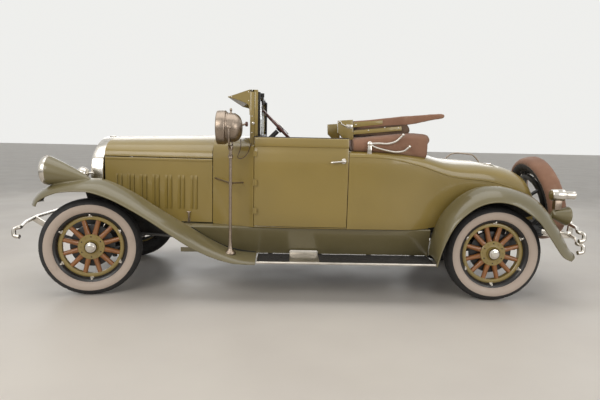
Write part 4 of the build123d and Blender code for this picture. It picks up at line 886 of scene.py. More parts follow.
for side, hand in SIDES:
    shape = Shape()
    outer, top_edge, inner = [], [], []
    for x, low, belt, under, top in DOOR:
        panel = [(low + (belt - low) * t / 5, 616 + (1236 - 616) * t / 5) for t in range(6)]
        panel += [((belt + under) / 2, 1271), (under, 1303), (under + 1.5, 1305.5), (under + 6, 1307.5),
                (under + 9, 1311),
                  (under + 10, 1317), (top + 10, 1369), (top + 9, 1376), (top + 6, 1381), (top + 1, 1384),
                          (top - 5, 1385)]
        outer.append([mm(x, side * y, z) for y, z in panel])
        top_edge.append([mm(x, side * y, z) for y, z in ((top - 5, 1385), (top - 40, 1385),
                (top - 46, 1380))])
        lining = [(top - 46, 1380), (top - 46, 1345), (top - 50, 1338), (belt - 48, 1236), (low - 46, 700),
                (low - 46, 616)]
        inner.append([mm(x, side * y, z) for y, z in lining] + [mm(x, side * low, 616)])
    shape.patch(outer, 0)
    shape.patch(top_edge, 1)
    shape.patch(inner, 2)
    for outer_row, top_row, inner_row in ((outer[0], top_edge[0], inner[0]),
            (outer[-1], top_edge[-1], inner[-1])):
        ring = outer_row + top_row[1:] + inner_row[1:-1]
        shape.add(ring, [tuple(range(len(ring)))], 0)
    body = f"door_{hand}"
    door = shape.make(f"door_{hand}_panel", [GOLD, SATIN_BLACK, LEATHER], body, slot="body_gold",
            bevel=0.0015)
    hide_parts(f"door_{hand}")
    trims = Shape()
    sill_line = [mm(x, side * (top - 3), 1386.2) for x, low, belt, under, top in DOOR]
    trims.tube(sill_line, 0.0042, 1, sides=10)
    trims.tube([mm(x, side * (top - 40), 1386) for x, low, belt, under, top in DOOR], 0.004, 1, sides=10)
    for bottom, top_z in ((1219, 1268), (970, 1024), (726, 777)):
        hinge = facing_up(344, side * 702, bottom)
        tall = top_z - bottom
        trims.lathe([(0, 0.4), (0, 6.5), (2, 8), (tall / 2 - 1, 8), (tall / 2 - 0.6, 7),
                (tall / 2 + 0.6, 7), (tall / 2 + 1, 8),
                           (tall - 2, 8), (tall, 6.5), (tall, 0.4)], hinge, 24)
        trims.box((316, 342), span(side, 668, 704), (bottom + 3, top_z - 3))
    place = facing_out(side, -424, side * 720, 1194)
    trims.lathe([(-6, 23), (2, 23), (5, 20), (6, 13), (10, 9.5), (20, 8.5), (25, 9), (28, 10), (30, 7),
            (31, 0.4)], place, 32, 2)
    lever = [mm(-436, side * 745, 1195), mm(-424, side * 745, 1194), mm(-396, side * 746, 1191),
            mm(-356, side * 747, 1187),
             mm(-322, side * 746, 1183), mm(-312, side * 744, 1182)]
    trims.tube(lever, [0.0045, 0.0085, 0.0075, 0.0072, 0.0085, 0.005], 2, sides=14)
    inside = [mm(-380, side * 652, 1210), mm(-380, side * 640, 1210), mm(-300, side * 636, 1208)]
    trims.tube(inside, 0.006, 2)
    trims.tube([mm(150, side * 642, 1000), mm(150, side * 630, 1000), mm(40, side * 630, 1000)], 0.006, 2)
    pocket = [mm(-360, side * 646, 760), mm(200, side * 640, 760), mm(230, side * 640, 900),
            mm(-390, side * 646, 900)]
    trims.tube(pocket + pocket[:1], 0.004, 3, sides=8)
    trims.make(f"door_{hand}_fittings", [GOLD, SATIN_BLACK, NICKEL, LEATHER], body, slot="nickel",
            solid=True)


# ---- hood and radiator ----

HOOD_ENDS = ((1716.0, 405.0, 398.0, 1354.0), (728.0, 508.0, 500.0, 1386.0))
HOOD = [tuple(a + (b - a) * k / 20 for a, b in zip(*HOOD_ENDS)) for k in range(21)]
HOOD_SHEET = 0.005
LOUVRE_PAIRS = (1593.0, 1478.0, 1363.0, 1248.0, 1132.0, 1015.0, 899.0)


def hood_half(x, z):
    bottom, shoulder = at(HOOD, x, 1), at(HOOD, x, 2)
    return bottom + (shoulder - bottom) * (z - 612) / (1185 - 612)


for side, hand in SIDES:
    shape = Shape()
    rows = []
    for x, bottom, shoulder, crown_z in HOOD:
        row = []
        for k in range(19):
            a = math.pi / 2 * k / 18
            y = shoulder * math.sin(a) ** (2 / 2.3)
            z = 1185 + (crown_z - 1185) * max(math.cos(a), 0) ** (2 / 2.3)
            row.append((max(y, 2.5), max(z, 1188)))
        rows.append([mm(x, side * y, z) for y, z in row])
    shape.patch(rows)
    body = f"hood_top_{hand}"
    top = shape.make(f"hood_top_{hand}_skin", [GOLD, SATIN_BLACK], body, solid=False, slot="body_gold")
    face_up(top)
    finish_sheet(top, body, HOOD_SHEET, body)
    shape = Shape()
    count = 24
    for k in range(count):
        if (k % 2 == 0) == (side > 0):
            ends = [1712 - (1712 - 732) * (k + e) / count for e in (0.04, 0.96)]
            shape.tube([mm(x, 0, at(HOOD, x, 3) + 1.0) for x in ends], 0.0046, 1, sides=12)
    band = [[mm(x, side * (shoulder + out), z) for out, z in
             ((0, 1188.5), (3.2, 1189.5), (4.2, 1193), (3.4, 1197), (-1.5, 1199), (-4, 1192))] for x, _,
                     shoulder, _ in HOOD]
    shape.patch(band, around=True, caps=True)
    shape.make(f"hood_top_{hand}_trims", [GOLD, NICKEL], body, slot="body_gold")

    shape = Shape()
    body = f"hood_side_{hand}"
    heights = [612, 618, 700, 800, 900, 1000, 1100, 1155, 1182]
    shape.patch([[mm(x, side * hood_half(x, z), z) for z in heights] for x, *_ in HOOD])
    panel = shape.make(f"hood_side_{hand}_skin", [GOLD, SATIN_BLACK], body, solid=False, slot="body_gold")
    face_from(panel, (1.2, 0, 0.9))
    finish_sheet(panel, body, HOOD_SHEET, body)
    shape = Shape()
    for pair in LOUVRE_PAIRS:
        for middle in (pair - 20, pair + 20):
            rows, slits = [], []
            for k in range(17):
                t = k / 16
                z = 722 + (1030 - 722) * t
                lift = min(1.0, math.sin(math.pi * t) * 5) ** 0.6 if 0 < t < 1 else 0.0
                row = []
                for j in range(9):
                    u = j / 8
                    x = middle + 15 - 29 * u
                    out = 9.5 * lift * (u ** 1.4)
                    row.append(mm(x, side * (hood_half(x, z) + out + 0.2), z))
                rows.append(row)
                x = middle - 14
                slits.append([mm(x, side * (hood_half(x, z) + 9.5 * lift + 0.2), z),
                              mm(x + 1, side * (hood_half(x, z) + 9.5 * lift - 2.0 * lift), z),
                              mm(x + 2, side * (hood_half(x, z) - 0.5), z)])
            shape.patch(rows, 0)
            shape.patch([row[:2] for row in slits], 0)
            # the slot's inner face, from the louvre's lip down into the panel, is painted shade in the
            # near-black
            shape.patch([row[1:] for row in slits], 1)
            # a flat near-black strip laid on the panel behind each louvre: the painted shadow of the slot
            painted_shade_strip = [[mm(middle - 12.5, side * (hood_half(middle, z) + 0.5), z),
                           mm(middle - 24.0, side * (hood_half(middle, z) + 0.9), z)] for z in (734, 1018)]
            shape.patch(painted_shade_strip, 1)
    band = [[mm(x, side * (hood_half(x, z) + out), z) for out, z in
             ((0, 1156), (3.4, 1158), (4.4, 1163), (4.6, 1176), (3.6, 1180.5), (0, 1181.5))] for x,
                     *_ in HOOD]
    shape.patch(band, 0)
    shape.make(f"hood_side_{hand}_louvres", [GOLD, SHADE_BLACK], body, slot="body_gold", weld=False, solid=True)
    latch = Shape()
    base_y = hood_half(940, 660)
    latch.box((930, 952), span(side, base_y, base_y + 5), (606, 640))
    handle = [mm(940, side * (base_y + 9), 612), mm(940, side * (base_y + 14), 640),
            mm(940, side * (base_y + 15), 690), mm(940, side * (base_y + 14), 706)]
    latch.tube(handle, [0.005, 0.0062, 0.0085, 0.0075], sides=12)
    latch.tube([mm(922, side * (base_y + 14), 703), mm(958, side * (base_y + 14), 703)], 0.0055, sides=12)
    latch.tube([mm(940, side * (base_y + 2), 632), mm(940, side * (base_y + 13), 634)], 0.006, sides=12)
    latch.make(f"hood_latch_{hand}", [AGED_NICKEL], body, slot="nickel", bevel=0.001)


def resampled(outline, count):
    """Points evenly spaced along an open outline."""
    lengths = [0.0]
    for a, b in zip(outline, outline[1:]):
        lengths.append(lengths[-1] + math.dist(a, b))
    points = []
    for k in range(count):
        want = lengths[-1] * k / (count - 1)
        i = max(j for j in range(len(outline) - 1) if lengths[j] <= want + 1e-9)
        share = (want - lengths[i]) / (lengths[i + 1] - lengths[i])
        points.append(tuple(a + (b - a) * share for a, b in zip(outline[i], outline[i + 1])))
    return points


SHELL = resampled(smooth([(405, 602), (433, 900), (433, 1050), (411, 1147), (386, 1190), (324, 1243),
        (237, 1297),
                          (109, 1343), (0, 1360)], 6), 60)
CORE = resampled(smooth([(345, 640), (372, 900), (372, 1040), (345, 1130), (290, 1190), (200, 1240),
        (100, 1268), (0, 1276)], 6), 60)
SHELL, CORE = ([*half, *[(-y, z) for y, z in half[-2::-1]]] for half in (SHELL, CORE))
SHELL_SECTION = [
    # x, share of the way from the outer edge to the core
    (1724, 0.10), (1726, 0.02), (1731, 0.0), (1822, 0.0), (1828, 0.02), (1831.5, 0.10), (1832, 0.2),
            (1830, 0.55), (1826, 0.82),
    (1821, 0.95), (1812, 1.0), (1746, 1.0), (1726, 0.6)]
shape = Shape()
shape.patch([[mm(x, a[0] + (b[0] - a[0]) * s, a[1] + (b[1] - a[1]) * s) for a, b in zip(SHELL, CORE)]
             for x, s in SHELL_SECTION], 0, around=True, along=True)
cap = facing_up(1776, 0, 1350)
shape.lathe([(0, 31), (6, 31), (7, 34), (13, 34), (15, 32), (17, 24), (17.5, 8), (17.5, 0.4)], cap, 24)
shell = shape.make("radiator_shell_dressed", [NICKEL], slot="nickel", angle=28)
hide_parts("radiator_shell")
# The core block and its fins take the near-black shade material: the core's own black, with the shade deep
# in its cells painted in.
shape = Shape()
shape.patch([[mm(x, y * 0.999, z) for y, z in CORE] for x in (1747, 1784)], around=True, caps=True)
for k in range(-24, 25):
    y = k * 15.2
    top = max(z for (a, z) in CORE if abs(abs(a) - abs(y)) < 12)
    shape.slab(mm(1784, y - 0.8, 645), mm(1806, y + 0.8, top - 4), 0)
for k in range(34):
    z = 655 + k * 18.2
    reach = max((a for (a, b) in CORE if abs(b - z) < 14), default=0) - 5
    shape.slab(mm(1790, -reach, z - 0.7), mm(1805, reach, z + 0.7), 0)
core = shape.make("radiator_core_dressed", [SHADE_BLACK], slot="radiator_black", weld=False)
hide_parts("radiator_core")


# ---- running boards ----

BOARD_FRONT, BOARD_REAR, BOARD_INNER, BOARD_OUTER = 304.0, -1206.0, 600.0, 912.0
shape = Shape()
for side, hand in SIDES:
    shape.box((BOARD_REAR + 3, BOARD_FRONT - 3), span(side, BOARD_INNER, BOARD_OUTER - 4), (340, 353))
    for k in range(22):
        y = side * (BOARD_INNER + 16 + k * 13)
        shape.box((BOARD_REAR + 10, BOARD_FRONT - 10), (y - 3.6, y + 3.6), (353, 356.6))
    y = side * (BOARD_OUTER - 3)
    lip = [(-14, 357.4), (-4, 358), (1, 357), (3, 354), (3, 343), (1, 339.4), (-3, 339), (-4, 352),
            (-14, 354)]
    shape.patch([[mm(x, y + side * d, z) for d, z in lip] for x in (BOARD_REAR, BOARD_FRONT)], 1,
            around=True, caps=True)
    for x, way in ((BOARD_FRONT, 1), (BOARD_REAR, -1)):
        shape.prism([(x - way * 1 + way * d * 0.4, z) for d, z in lip],
                span(side, BOARD_INNER, BOARD_OUTER), 1)
    plate_low, plate_high = span(side, BOARD_INNER + 22, BOARD_OUTER - 8)
    shape.box((-226, 26), (plate_low, plate_high), (356, 358.6), 2)
    upright = [(-226, 357), (-226, 384), (-214, 394), (14, 394), (26, 384), (26, 357)]
    shape.prism(upright, span(side, BOARD_INNER + 22, BOARD_INNER + 26), 2)
    for k in range(9):
        x = -200 + k * 25
        shape.box((x - 3, x + 3), (plate_low + 16, plate_high - 16), (358.6, 360.4), 2)
    for x in (-212, 12):
        for y in (plate_low + 8, plate_high - 8):
            shape.lathe([(0, 5), (2, 4), (3, 0.4)], facing_up(x, y, 358), 12, 2)
    for x in (-1100, -700, -250, 200):
        shape.box((x - 20, x + 20), span(side, 420, 860), (329, 340), 3)
boards = shape.make("running_boards_dressed", [MAT, ALUMINIUM, ALUMINIUM, FRAME_BLACK], slot="rubber_mat",
        bevel=0.0008, weld=False)
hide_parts("running_boards")


# ---- windshield and visor ----

shape = Shape()
for side, hand in SIDES:
    shape.box((348, 383), span(side, 618, 654), (1300, 1782))
    shape.box((317, 346), span(side, 618, 654), (1395, 1766))
    shape.box((345.5, 348.5), span(side, 622, 650), (1400, 1764), 1)
    shape.box((297, 317.5), span(side, 604, 634), (1394, 1765), 1)
    for z in (1775, 1420, 1560):
        rivet = facing_out(side, 366, side * 653, z)
        shape.lathe([(0, 6), (3, 5), (5, 0.4)], rivet, 16, 2)
    knob = facing_out(side, 356, side * 653, 1500)
    shape.lathe([(0, 7), (5, 7), (6, 12), (12, 13), (15, 10), (16, 0.4)], knob, 24, 2)
shape.box((317, 383), (-654, 654), (1764, 1782))
shape.box((302, 318), (-620, 620), (1752, 1767), 1)
shape.box((300, 318), (-620, 620), (1394, 1412), 1)
shape.box((350, 372), (-620, 620), (1384, 1408))
frame_piece = shape.make("windshield_frame_dressed", [GOLD, SATIN_BLACK, NICKEL], slot="body_gold",
        bevel=0.0022, weld=False)
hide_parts("windshield_frame")
shape = Shape()
shape.box((326, 331), (-617, 617), (1410, 1759))
pane = shape.make("windshield_pane", [CLEAR], slot="glass", bevel=0.001)
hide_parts("windshield_glass")
shape = Shape()
bracket = [mm(316, 560, 1748), mm(292, 560, 1742), mm(284, 556, 1738)]
shape.tube(bracket, 0.006, 1)
mirror = Matrix.Translation(mm(278, 548, 1706))
shape.lathe([(-6, 0.4), (-6, 28), (-2, 36), (3, 37), (5, 33), (4, 30)], mirror, 40, 1)
shape.lathe([(3.5, 31), (3.6, 0.4)], mirror, 40, 0)
shape.box((268, 316), (556, 580), (1728, 1760), 1)
wiper = [mm(334, 300, 1752), mm(337, 300, 1740), mm(338, 250, 1560)]
shape.tube(wiper, 0.0025, 1, 8)
shape.box((334, 340), (150, 350), (1556, 1562), 1)
shape.make("windshield_fittings", [REFLECTOR, SATIN_BLACK], slot="nickel", weld=False)

VISOR_TOP = smooth([(384.5, 1783.0), (430, 1768), (500, 1743), (567, 1719)], 4)
CHEEK_LOW = smooth([(508, 1704), (448, 1684), (405, 1664), (390, 1640), (385, 1600), (384.5, 1571)], 4)
shape = Shape()
roof = VISOR_TOP + [(566, 1713.5), (498, 1737), (428, 1762), (384.5, 1777)]
shape.prism(roof, (-653, -600, -300, 0, 300, 600, 653))
for side, hand in SIDES:
    cheek = VISOR_TOP + CHEEK_LOW
    shape.patch([[mm(x, side * y, z) for x, z in cheek] for y in (648.5, 653.5)], around=True, caps=True)
    rim = [mm(x, side * 651, z) for x, z in [VISOR_TOP[-1]] + CHEEK_LOW]
    shape.tube(rim, 0.0042, 0, sides=10)
    for x, z in ((396, 1762), (396, 1690), (540, 1719)):
        rivet = facing_out(side, x, side * 653, z)
        shape.lathe([(0, 4.5), (2, 4), (3.2, 0.4)], rivet, 12, 1)
shape.tube([mm(566.5, -652, 1717), mm(566.5, 652, 1717)], 0.005, 0, sides=12)
visor = shape.make("visor_dressed", [GOLD, NICKEL], slot="body_gold", weld=False)
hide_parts("visor")


# ---- cabin ----

def stuffed(name, outline, half, look, pleats, top_axis, body="root", slot="leather", voxel=0.016,
        cap=0.020):
    """A padded block: a side view extruded across, blown up as cloth, then pleated along X and Z."""
    middle = [sum(p[i] for p in outline) / len(outline) for i in (0, 1)]
    shrunk = [tuple(m + (c - m) * (1 - 0.014 / max(abs(c - m) * MM, 0.05)) for c, m in zip(p, middle))
            for p in outline]
    rows = []
    for k in range(13):
        y = -half + 14 + (2 * half - 28) * k / 12
        rows.append([mm(x, y, z) for x, z in shrunk])
    shape = Shape()
    shape.patch(rows, around=True, caps=True)
    piece = shape.make(name, [look], body, slot)
    mesh_step = piece.modifiers.new("voxels", "REMESH")
    mesh_step.mode, mesh_step.voxel_size, mesh_step.use_smooth_shade = "VOXEL", voxel, True
    apply_modifiers(piece)
    piece.data.materials.clear()
    piece.data.materials.append(look)
    start = [v.co.copy() for v in piece.data.vertices]
    puff = piece.modifiers.new("puff", "CLOTH")
    settings = puff.settings
    settings.use_pressure, settings.uniform_pressure_force = True, 4.0
    settings.effector_weights.gravity = 0.0
    settings.tension_stiffness = settings.compression_stiffness = 15.0
    settings.shear_stiffness = 5.0
    settings.quality = 4
    puff.collision_settings.use_collision = False
    for step in range(1, 16):
        bpy.context.scene.frame_set(step)
    apply_modifiers(piece)
    bpy.context.scene.frame_set(1)
    for vertex, before in zip(piece.data.vertices, start):
        shift = vertex.co - before
        if shift.length > cap:
            vertex.co = before + shift.normalized() * cap
    finer = piece.modifiers.new("finer", "SUBSURF")
    finer.levels = finer.render_levels = 1
    apply_modifiers(piece)
    for vertex in piece.data.vertices:
        normal = vertex.normal
        facing = max(0.0, normal.x * top_axis[0] + normal.z * top_axis[1])
        wave = abs(math.sin(math.pi * vertex.co.y / pleats))
        groove = (1 - wave ** 0.35) * 0.011
        crease = noise.noise(vertex.co * 9) * 0.0025
        vertex.co -= normal * (groove * min(1.0, facing * 1.6) - crease)
    finish_piece(piece, body, angle=60)
    return piece


cushion = stuffed("seat_cushion", [(-438, 690), (-438, 892), (-300, 884), (20, 902), (66, 880), (66, 700)],
        585,
                  LEATHER, 0.088, (0.15, 1.0))
stuffed("seat_back", [(-440, 860), (-566, 1262), (-600, 1272), (-690, 1266), (-642, 860)], 585,
               LEATHER, 0.088, (0.95, 0.31))
stuffed("rumble_cushion", [(-1838, 700), (-1838, 838), (-1404, 838), (-1404, 700)], 358,
                 LEATHER, 0.075, (0.1, 1.0), voxel=0.014, cap=0.012)
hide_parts("seats")
shape = Shape()
shape.box((-640, 52), (-575, 575), (628, 702))
shape.box((-690, -640), (-580, 580), (628, 1240))
shape.make("seat_base", [LEATHER], slot="leather", bevel=0.006)

shape = Shape()
panel = [(y, z) for y, z in hull_outline(642, 666, 1228, 1352, 1140, 3.2)]
shape.patch([[mm(x, y, z) for y, z in panel] for x in (373, 391)], around=True, caps=True)
for y, z, r in ((60, 1262, 52), (-60, 1262, 52), (-172, 1262, 40), (172, 1262, 40)):
    face = facing_back(373, y, z)
    shape.lathe([(0, r + 6), (5, r + 5), (7, r), (4, r - 2), (3, r - 3)], face, 40, 1)
    shape.lathe([(2.6, r - 1), (2.7, 0.4)], face, 40, 2)
    for k in range(12):
        a = 2 * math.pi * k / 12
        tick = face @ Matrix.Rotation(a, 4, "X")
        shape.slab(mm(2.8, -0.8, r * 0.70), mm(3.4, 0.8, r * 0.84), 3, tick)
    needle = face @ Matrix.Rotation(0.9 + y * 0.01, 4, "X")
    shape.slab(mm(3.4, -1.0, -6), mm(4.2, 1.0, r * 0.66), 3, needle)
for y in (-300, -260, 250, 290):
    face = facing_back(373, y, 1236)
    shape.lathe([(0, 5), (14, 5), (15, 11), (24, 12), (26, 9), (26.5, 0.4)], face, 20, 1)
shape.box((364, 373), (-560, -340), (1168, 1300))
shape.lathe([(0, 6), (8, 6), (9, 9), (14, 9), (15, 0.4)], facing_back(364, -450, 1280), 20, 1)
dash = shape.make("dashboard_dressed", [DASH_WOOD, NICKEL, SATIN_BLACK, WHITEWALL], slot="dash_wood",
        bevel=0.0012, weld=False)
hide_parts("dashboard")

HUB = Vector(mm(132, 345, 1466))
RAKE = Vector((math.sqrt(0.5), 0, -math.sqrt(0.5)))
column_place = Matrix.Translation(HUB) @ RAKE.to_track_quat("X", "Y").to_matrix().to_4x4()
shape = Shape()
rim_profile = [(15.5 * 0.85 * math.cos(a), 218 + 13 * math.sin(a))
        for a in (2 * math.pi * k / 18 for k in range(18))]
shape.lathe(rim_profile, column_place, 96, 0, closed=True)
for k in range(48):
    a = 2 * math.pi * (k + 0.5) / 48
    bump = column_place @ Matrix.Rotation(a, 4, "X")
    shape.lathe([(8.5, 7.0), (11.5, 5.2), (13.0, 0.4)], bump @ Matrix.Translation((0, 0.214, 0)), 8, 0)
for k in range(4):
    a = math.radians(45 + 90 * k)
    arm = column_place @ Matrix.Rotation(a, 4, "X")
    shape.tube([(0, 0.024, 0), (-0.002, 0.09, 0), (-0.001, 0.16, 0), (0, 0.212, 0)],
            [0.0105, 0.0085, 0.0075, 0.0095], 1, 14, place=arm)
shape.lathe([(26, 0.4), (26, 26), (14, 34), (-8, 37), (-18, 34), (-21, 26), (-24, 20), (-26, 12),
        (-26, 0.4)], column_place, 40, 1)
shape.lathe([(-20, 22), (-26, 20), (-28, 10), (-28.5, 0.4)], column_place, 32, 2)
for k, r in ((0.6, 0.11), (2.6, 0.10)):
    arm = column_place @ Matrix.Rotation(k, 4, "X")
    shape.tube([(-0.020, 0.012, 0), (-0.022, r * 0.6, 0), (-0.020, r, 0)], [0.003, 0.003, 0.0045], 2, 10,
            place=arm)
wheel = shape.make("steering_wheel_dressed", [RIM_BROWN, SATIN_BLACK, NICKEL], "steering_wheel",
        "wheel_rim_brown")
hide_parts("steering_wheel")


# ---- folded top ----

def fold(name, outline, half, look, lift=5.0, seed=0.0):
    """A folded bundle of cloth: a closed side view carried across, with rounded ends and soft creases."""
    rows_across = 64
    loop = smooth(outline + outline[:1], 3)[:-1]
    cx = sum(p[0] for p in loop) / len(loop)
    cz = sum(p[1] for p in loop) / len(loop)
    rows = []
    for k in range(rows_across + 1):
        s = -math.cos(math.pi * k / rows_across)
        y = half * s
        edge = half - abs(y)
        tuck = min(1.0, (edge / 34.0)) if edge < 34 else 1.0
        scale = 0.80 + 0.20 * math.sqrt(max(0.0, 1 - (1 - tuck) ** 2))
        row = []
        for x, z in loop:
            px, pz = cx + (x - cx) * scale, cz + (z - cz) * scale
            n1 = noise.noise(Vector((px * 0.011 + seed, y * 0.006, pz * 0.02)))
            n2 = noise.noise(Vector((px * 0.035 + seed, y * 0.016, pz * 0.05)))
            push = lift * (0.55 * n1 + 0.45 * n2)
            row.append((px, y, pz + push))
        rows.append([mm(*p) for p in row])
    shape = Shape()
    shape.patch(rows, around=True, caps=True)
    return shape.make(name, [look], slot="canvas", angle=60)


LOWER = [(-502, 1398), (-498, 1337), (-514, 1303), (-600, 1302), (-760, 1303), (-957, 1304), (-1030, 1305),
        (-1120, 1308), (-1166, 1345),
         (-1188, 1396), (-1150, 1437), (-1042, 1445), (-900, 1441), (-700, 1420)]
lower_fold = fold("top_lower_fold", LOWER, 606, CANVAS, 10.0)
UPPER = [(-512, 1540), (-700, 1560), (-915, 1588), (-1060, 1602), (-1179, 1612), (-1285, 1617),
        (-1308, 1600), (-1284, 1579), (-1182, 1560),
         (-1060, 1530), (-930, 1512), (-760, 1500), (-520, 1482)]
upper_fold = fold("top_upper_fold", UPPER, 606, CANVAS, 6.0, seed=3.0)
# the middle fold fills the gap between the upper and lower folds in the darker lining cloth: its darkness
# is painted shade between the folds
MIDDLE = [(-913, 1560), (-985, 1520), (-1010, 1473), (-990, 1440), (-915, 1434), (-760, 1424),
        (-560, 1412), (-520, 1440), (-540, 1486),
          (-740, 1508)]
middle_fold = fold("top_middle_fold", MIDDLE, 596, LINING_AND_SHADE, 7.0, seed=7.0)
shape = Shape()
for side, hand in SIDES:
    rows = []
    steps = 26
    for k in range(steps + 1):
        t = k / steps
        x = -512 - (1150 - 512) * t
        belt, belt_z, crown_z = at(REAR_BODY, x, 2), at(REAR_BODY, x, 3), at(REAR_BODY, x, 4)
        reach = min(682, belt - 22) if x > -960 else min(belt - 22, 682 - (abs(x) - 960) * 0.25)
        surface = belt_z + (crown_z - belt_z) * max(0.0, 1 - (reach / belt) ** 3) ** (1 / 3)
        surface += 2
        top = 1392 + 48 * min(1, t * 1.6) - 60 * max(0, t - 0.9)
        n = noise.noise(Vector((x * 0.012, side * 3.1, 0.4)))
        ring = []
        for j in range(28):
            a = 2 * math.pi * j / 28
            c, s = math.cos(a), math.sin(a)
            mid_y, mid_z = 560, (top + surface) / 2
            y = mid_y + (reach - mid_y) * math.copysign(abs(c) ** 0.62, c)
            z = mid_z + (top - surface) / 2 * math.copysign(abs(s) ** 0.6, s)
            bulge = 5.0 * noise.noise(Vector((x * 0.02, z * 0.05, side * 5))) + 3.5 * math.sin(z / 11.0
                    + n * 2) * (abs(c) > 0.4)
            ring.append(mm(x, side * (y + bulge), z + 3 * n))
        rows.append(ring)
    for end, inward in ((rows[0], 1), (rows[-1], -1)):
        centre = sum((Vector(p) for p in end), Vector()) / len(end)
        tip = [tuple(centre + (Vector(p) - centre) * 0.82 + Vector((0.010 * inward, 0, 0))) for p in end]
        if inward > 0:
            rows.insert(0, tip)
        else:
            rows.append(tip)
    shape.patch(rows, around=True, caps=True)
side_folds = shape.make("top_side_folds", [CANVAS], slot="canvas", angle=60)
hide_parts("folded_top")
shape = Shape()
for side, hand in SIDES:
    block = [(-370, 1540), (-503, 1551), (-513, 1377), (-437, 1376), (-377, 1434)]
    shape.prism(block, span(side, 560, 611))
    y = side * 613
    for top_a, top_b, low_a, low_b in (((-508, 1531), (-760, 1551), (-508, 1485), (-760, 1517)),
                                       ((-511, 1458), (-926, 1504), (-511, 1424), (-930, 1467))):
        rail = [top_a, top_b, low_b, low_a]
        shape.prism(rail, span(side, 604, 616))
    plate = [(-500, 1508), (-448, 1512), (-448, 1478), (-500, 1474)]
    shape.prism(plate, span(side, 611, 616), 1)
    hook = [(-376, 1520), (-384, 1536), (-400, 1528), (-402, 1512), (-440, 1494), (-470, 1492)]
    shape.tube([mm(x, side * 617, z) for x, z in hook], [0.004, 0.005, 0.0055, 0.0055, 0.0055, 0.007], 1,
            12)
    for x, z in ((-530, 1508), (-640, 1462), (-780, 1488), (-900, 1487)):
        screw = facing_out(side, x, side * 616, z)
        shape.lathe([(0, 6), (2.5, 5), (3.5, 0.4)], screw, 16, 1)
shape.make("top_rails", [GOLD, NICKEL], slot="body_gold", bevel=0.0025, weld=False)

shape = Shape()
for side, hand in SIDES:
    y = side * 700
    upper_iron = smooth([(-642, 1348), (-720, 1352), (-797, 1351), (-862, 1370), (-900, 1402),
            (-925, 1428)], 4)
    lower_iron = smooth([(-642, 1348), (-690, 1320), (-770, 1298), (-862, 1282), (-931, 1290),
            (-960, 1308), (-985, 1330)], 4)
    for path in (upper_iron, lower_iron):
        shape.tube([mm(x, y, z) for x, z in path], 0.0082, 0, sides=14)
    for x, z in ((-925, 1428), (-985, 1330)):
        ball = facing_out(1, x, y, z)
        shape.turn([(0.013 * math.cos(a), max(0.013 * math.sin(a), 0.0004))
                for a in (math.pi * k / 12 for k in range(13))], ball, 24)
    pivot = facing_out(side, -642, side * 686, 1348)
    shape.lathe([(0, 0.4), (0, 18), (3, 21), (20, 21), (23, 17), (25, 9), (29, 8), (30, 0.4)], pivot, 32)
    shape.prism(((-662, 1262), (-622, 1262), (-628, 1338), (-656, 1338)), span(side, 691, 707))
irons = shape.make("top_irons_dressed", [NICKEL], slot="nickel", bevel=0.0015, weld=False)
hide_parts("top_irons")
shape = Shape()
rail = smooth([(-1634, 1165), (-1645, 1196), (-1672, 1224), (-1712, 1250), (-1770, 1261), (-1850, 1256),
        (-1920, 1248), (-1958, 1228),
               (-1992, 1194), (-2012, 1160), (-2018, 1100)], 4)
shape.tube([mm(x, -392, z) for x, z in rail], 0.0074, sides=16)
for x, z, tip in ((-1634, 1180, 0), (-2018, 1104, 1)):
    foot = facing_up(x, -392, z)
    shape.lathe([(0, 20), (5, 18), (10, 11), (14, 8)], foot, 28)
grab = shape.make("grab_rail_dressed", [AGED_NICKEL], slot="nickel")
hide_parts("grab_rail")


# ---- spare wheel under its cover ----

LEAN = math.radians(14.5)
spare_out = Vector((-math.cos(LEAN), 0, math.sin(LEAN)))
spare_up = Vector((math.sin(LEAN), 0, math.cos(LEAN)))
spare_side = spare_up.cross(spare_out)
SPARE = Matrix.Translation(mm(-2472, 0, 836)) @ Matrix((spare_out, spare_side,
        spare_up)).transposed().to_4x4()
shape = Shape()
for flip in (1, -1):
    shape.turn([(flip * w * MM, r * MM) for w, r in SIDEWALL if r < 398], SPARE, 96, 0)
shape.lathe([(44, 292), (-44, 292)], SPARE, 96, 0)
shape.lathe([(72, 390), (60, 402), (0, 408), (-60, 402), (-72, 390)], SPARE, 96, 0)
tyre = shape.make("spare_tyre_inside", [RUBBER], slot="tyre")
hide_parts("spare_tyre")
COVER = smooth([
    # along the axle to the rear, radius
    (-78, 366), (-84, 376), (-83, 388), (-76, 401), (-60, 413), (-36, 419), (0, 420.5), (36, 419),
            (62, 412), (78, 398), (85, 376),
    (87, 350), (84, 326), (74, 308), (60, 300)], 4)
AROUND = 288
shape = Shape()
rows = []
for i, (u, r) in enumerate(COVER):
    share = i / (len(COVER) - 1)
    gathers = max(0.0, 1 - share / 0.30) ** 1.2 + 0.8 * max(0.0, (share - 0.80) / 0.20) ** 1.2
    ring = []
    for k in range(AROUND):
        a = 2 * math.pi * k / AROUND
        jitter = noise.noise(Vector((math.cos(a) * 4, math.sin(a) * 4, 1.7)))
        pleat = abs(math.sin(a * 36 + jitter * 2.2)) ** 0.7
        soft = noise.noise(Vector((math.cos(a) * 9, math.sin(a) * 9, share * 3)))
        lift = 5.5 * gathers * (pleat - 0.5) + 1.8 * soft + 1.2 * (1 - gathers) * noise.noise(Vector((a * 14, share * 2, 0.3)))
        away = Vector((u / 88.0, (r - 362) / 58.0)).normalized() if abs(u) > 1 or r > 363 else Vector((0,
                1))
        ring.append(SPARE @ Vector(((u + away.x * lift) * MM, (r + away.y * lift) * MM * math.cos(a),
                (r + away.y * lift) * MM * math.sin(a))))
    rows.append(ring)
shape.patch(rows, 0, around=True)
cover = shape.make("spare_cover", [CANVAS, LINING_AND_SHADE], slot="canvas", solid=False, angle=60)
cover_centre = SPARE @ Vector((0, 0, 0))
outward = sum((p.center - cover_centre).dot(p.normal) * p.area for p in cover.data.polygons)
if outward < 0:
    cover.data.flip_normals()
thicken(cover, 0.0016, lining=1)
finish_piece(cover, "root", angle=60)
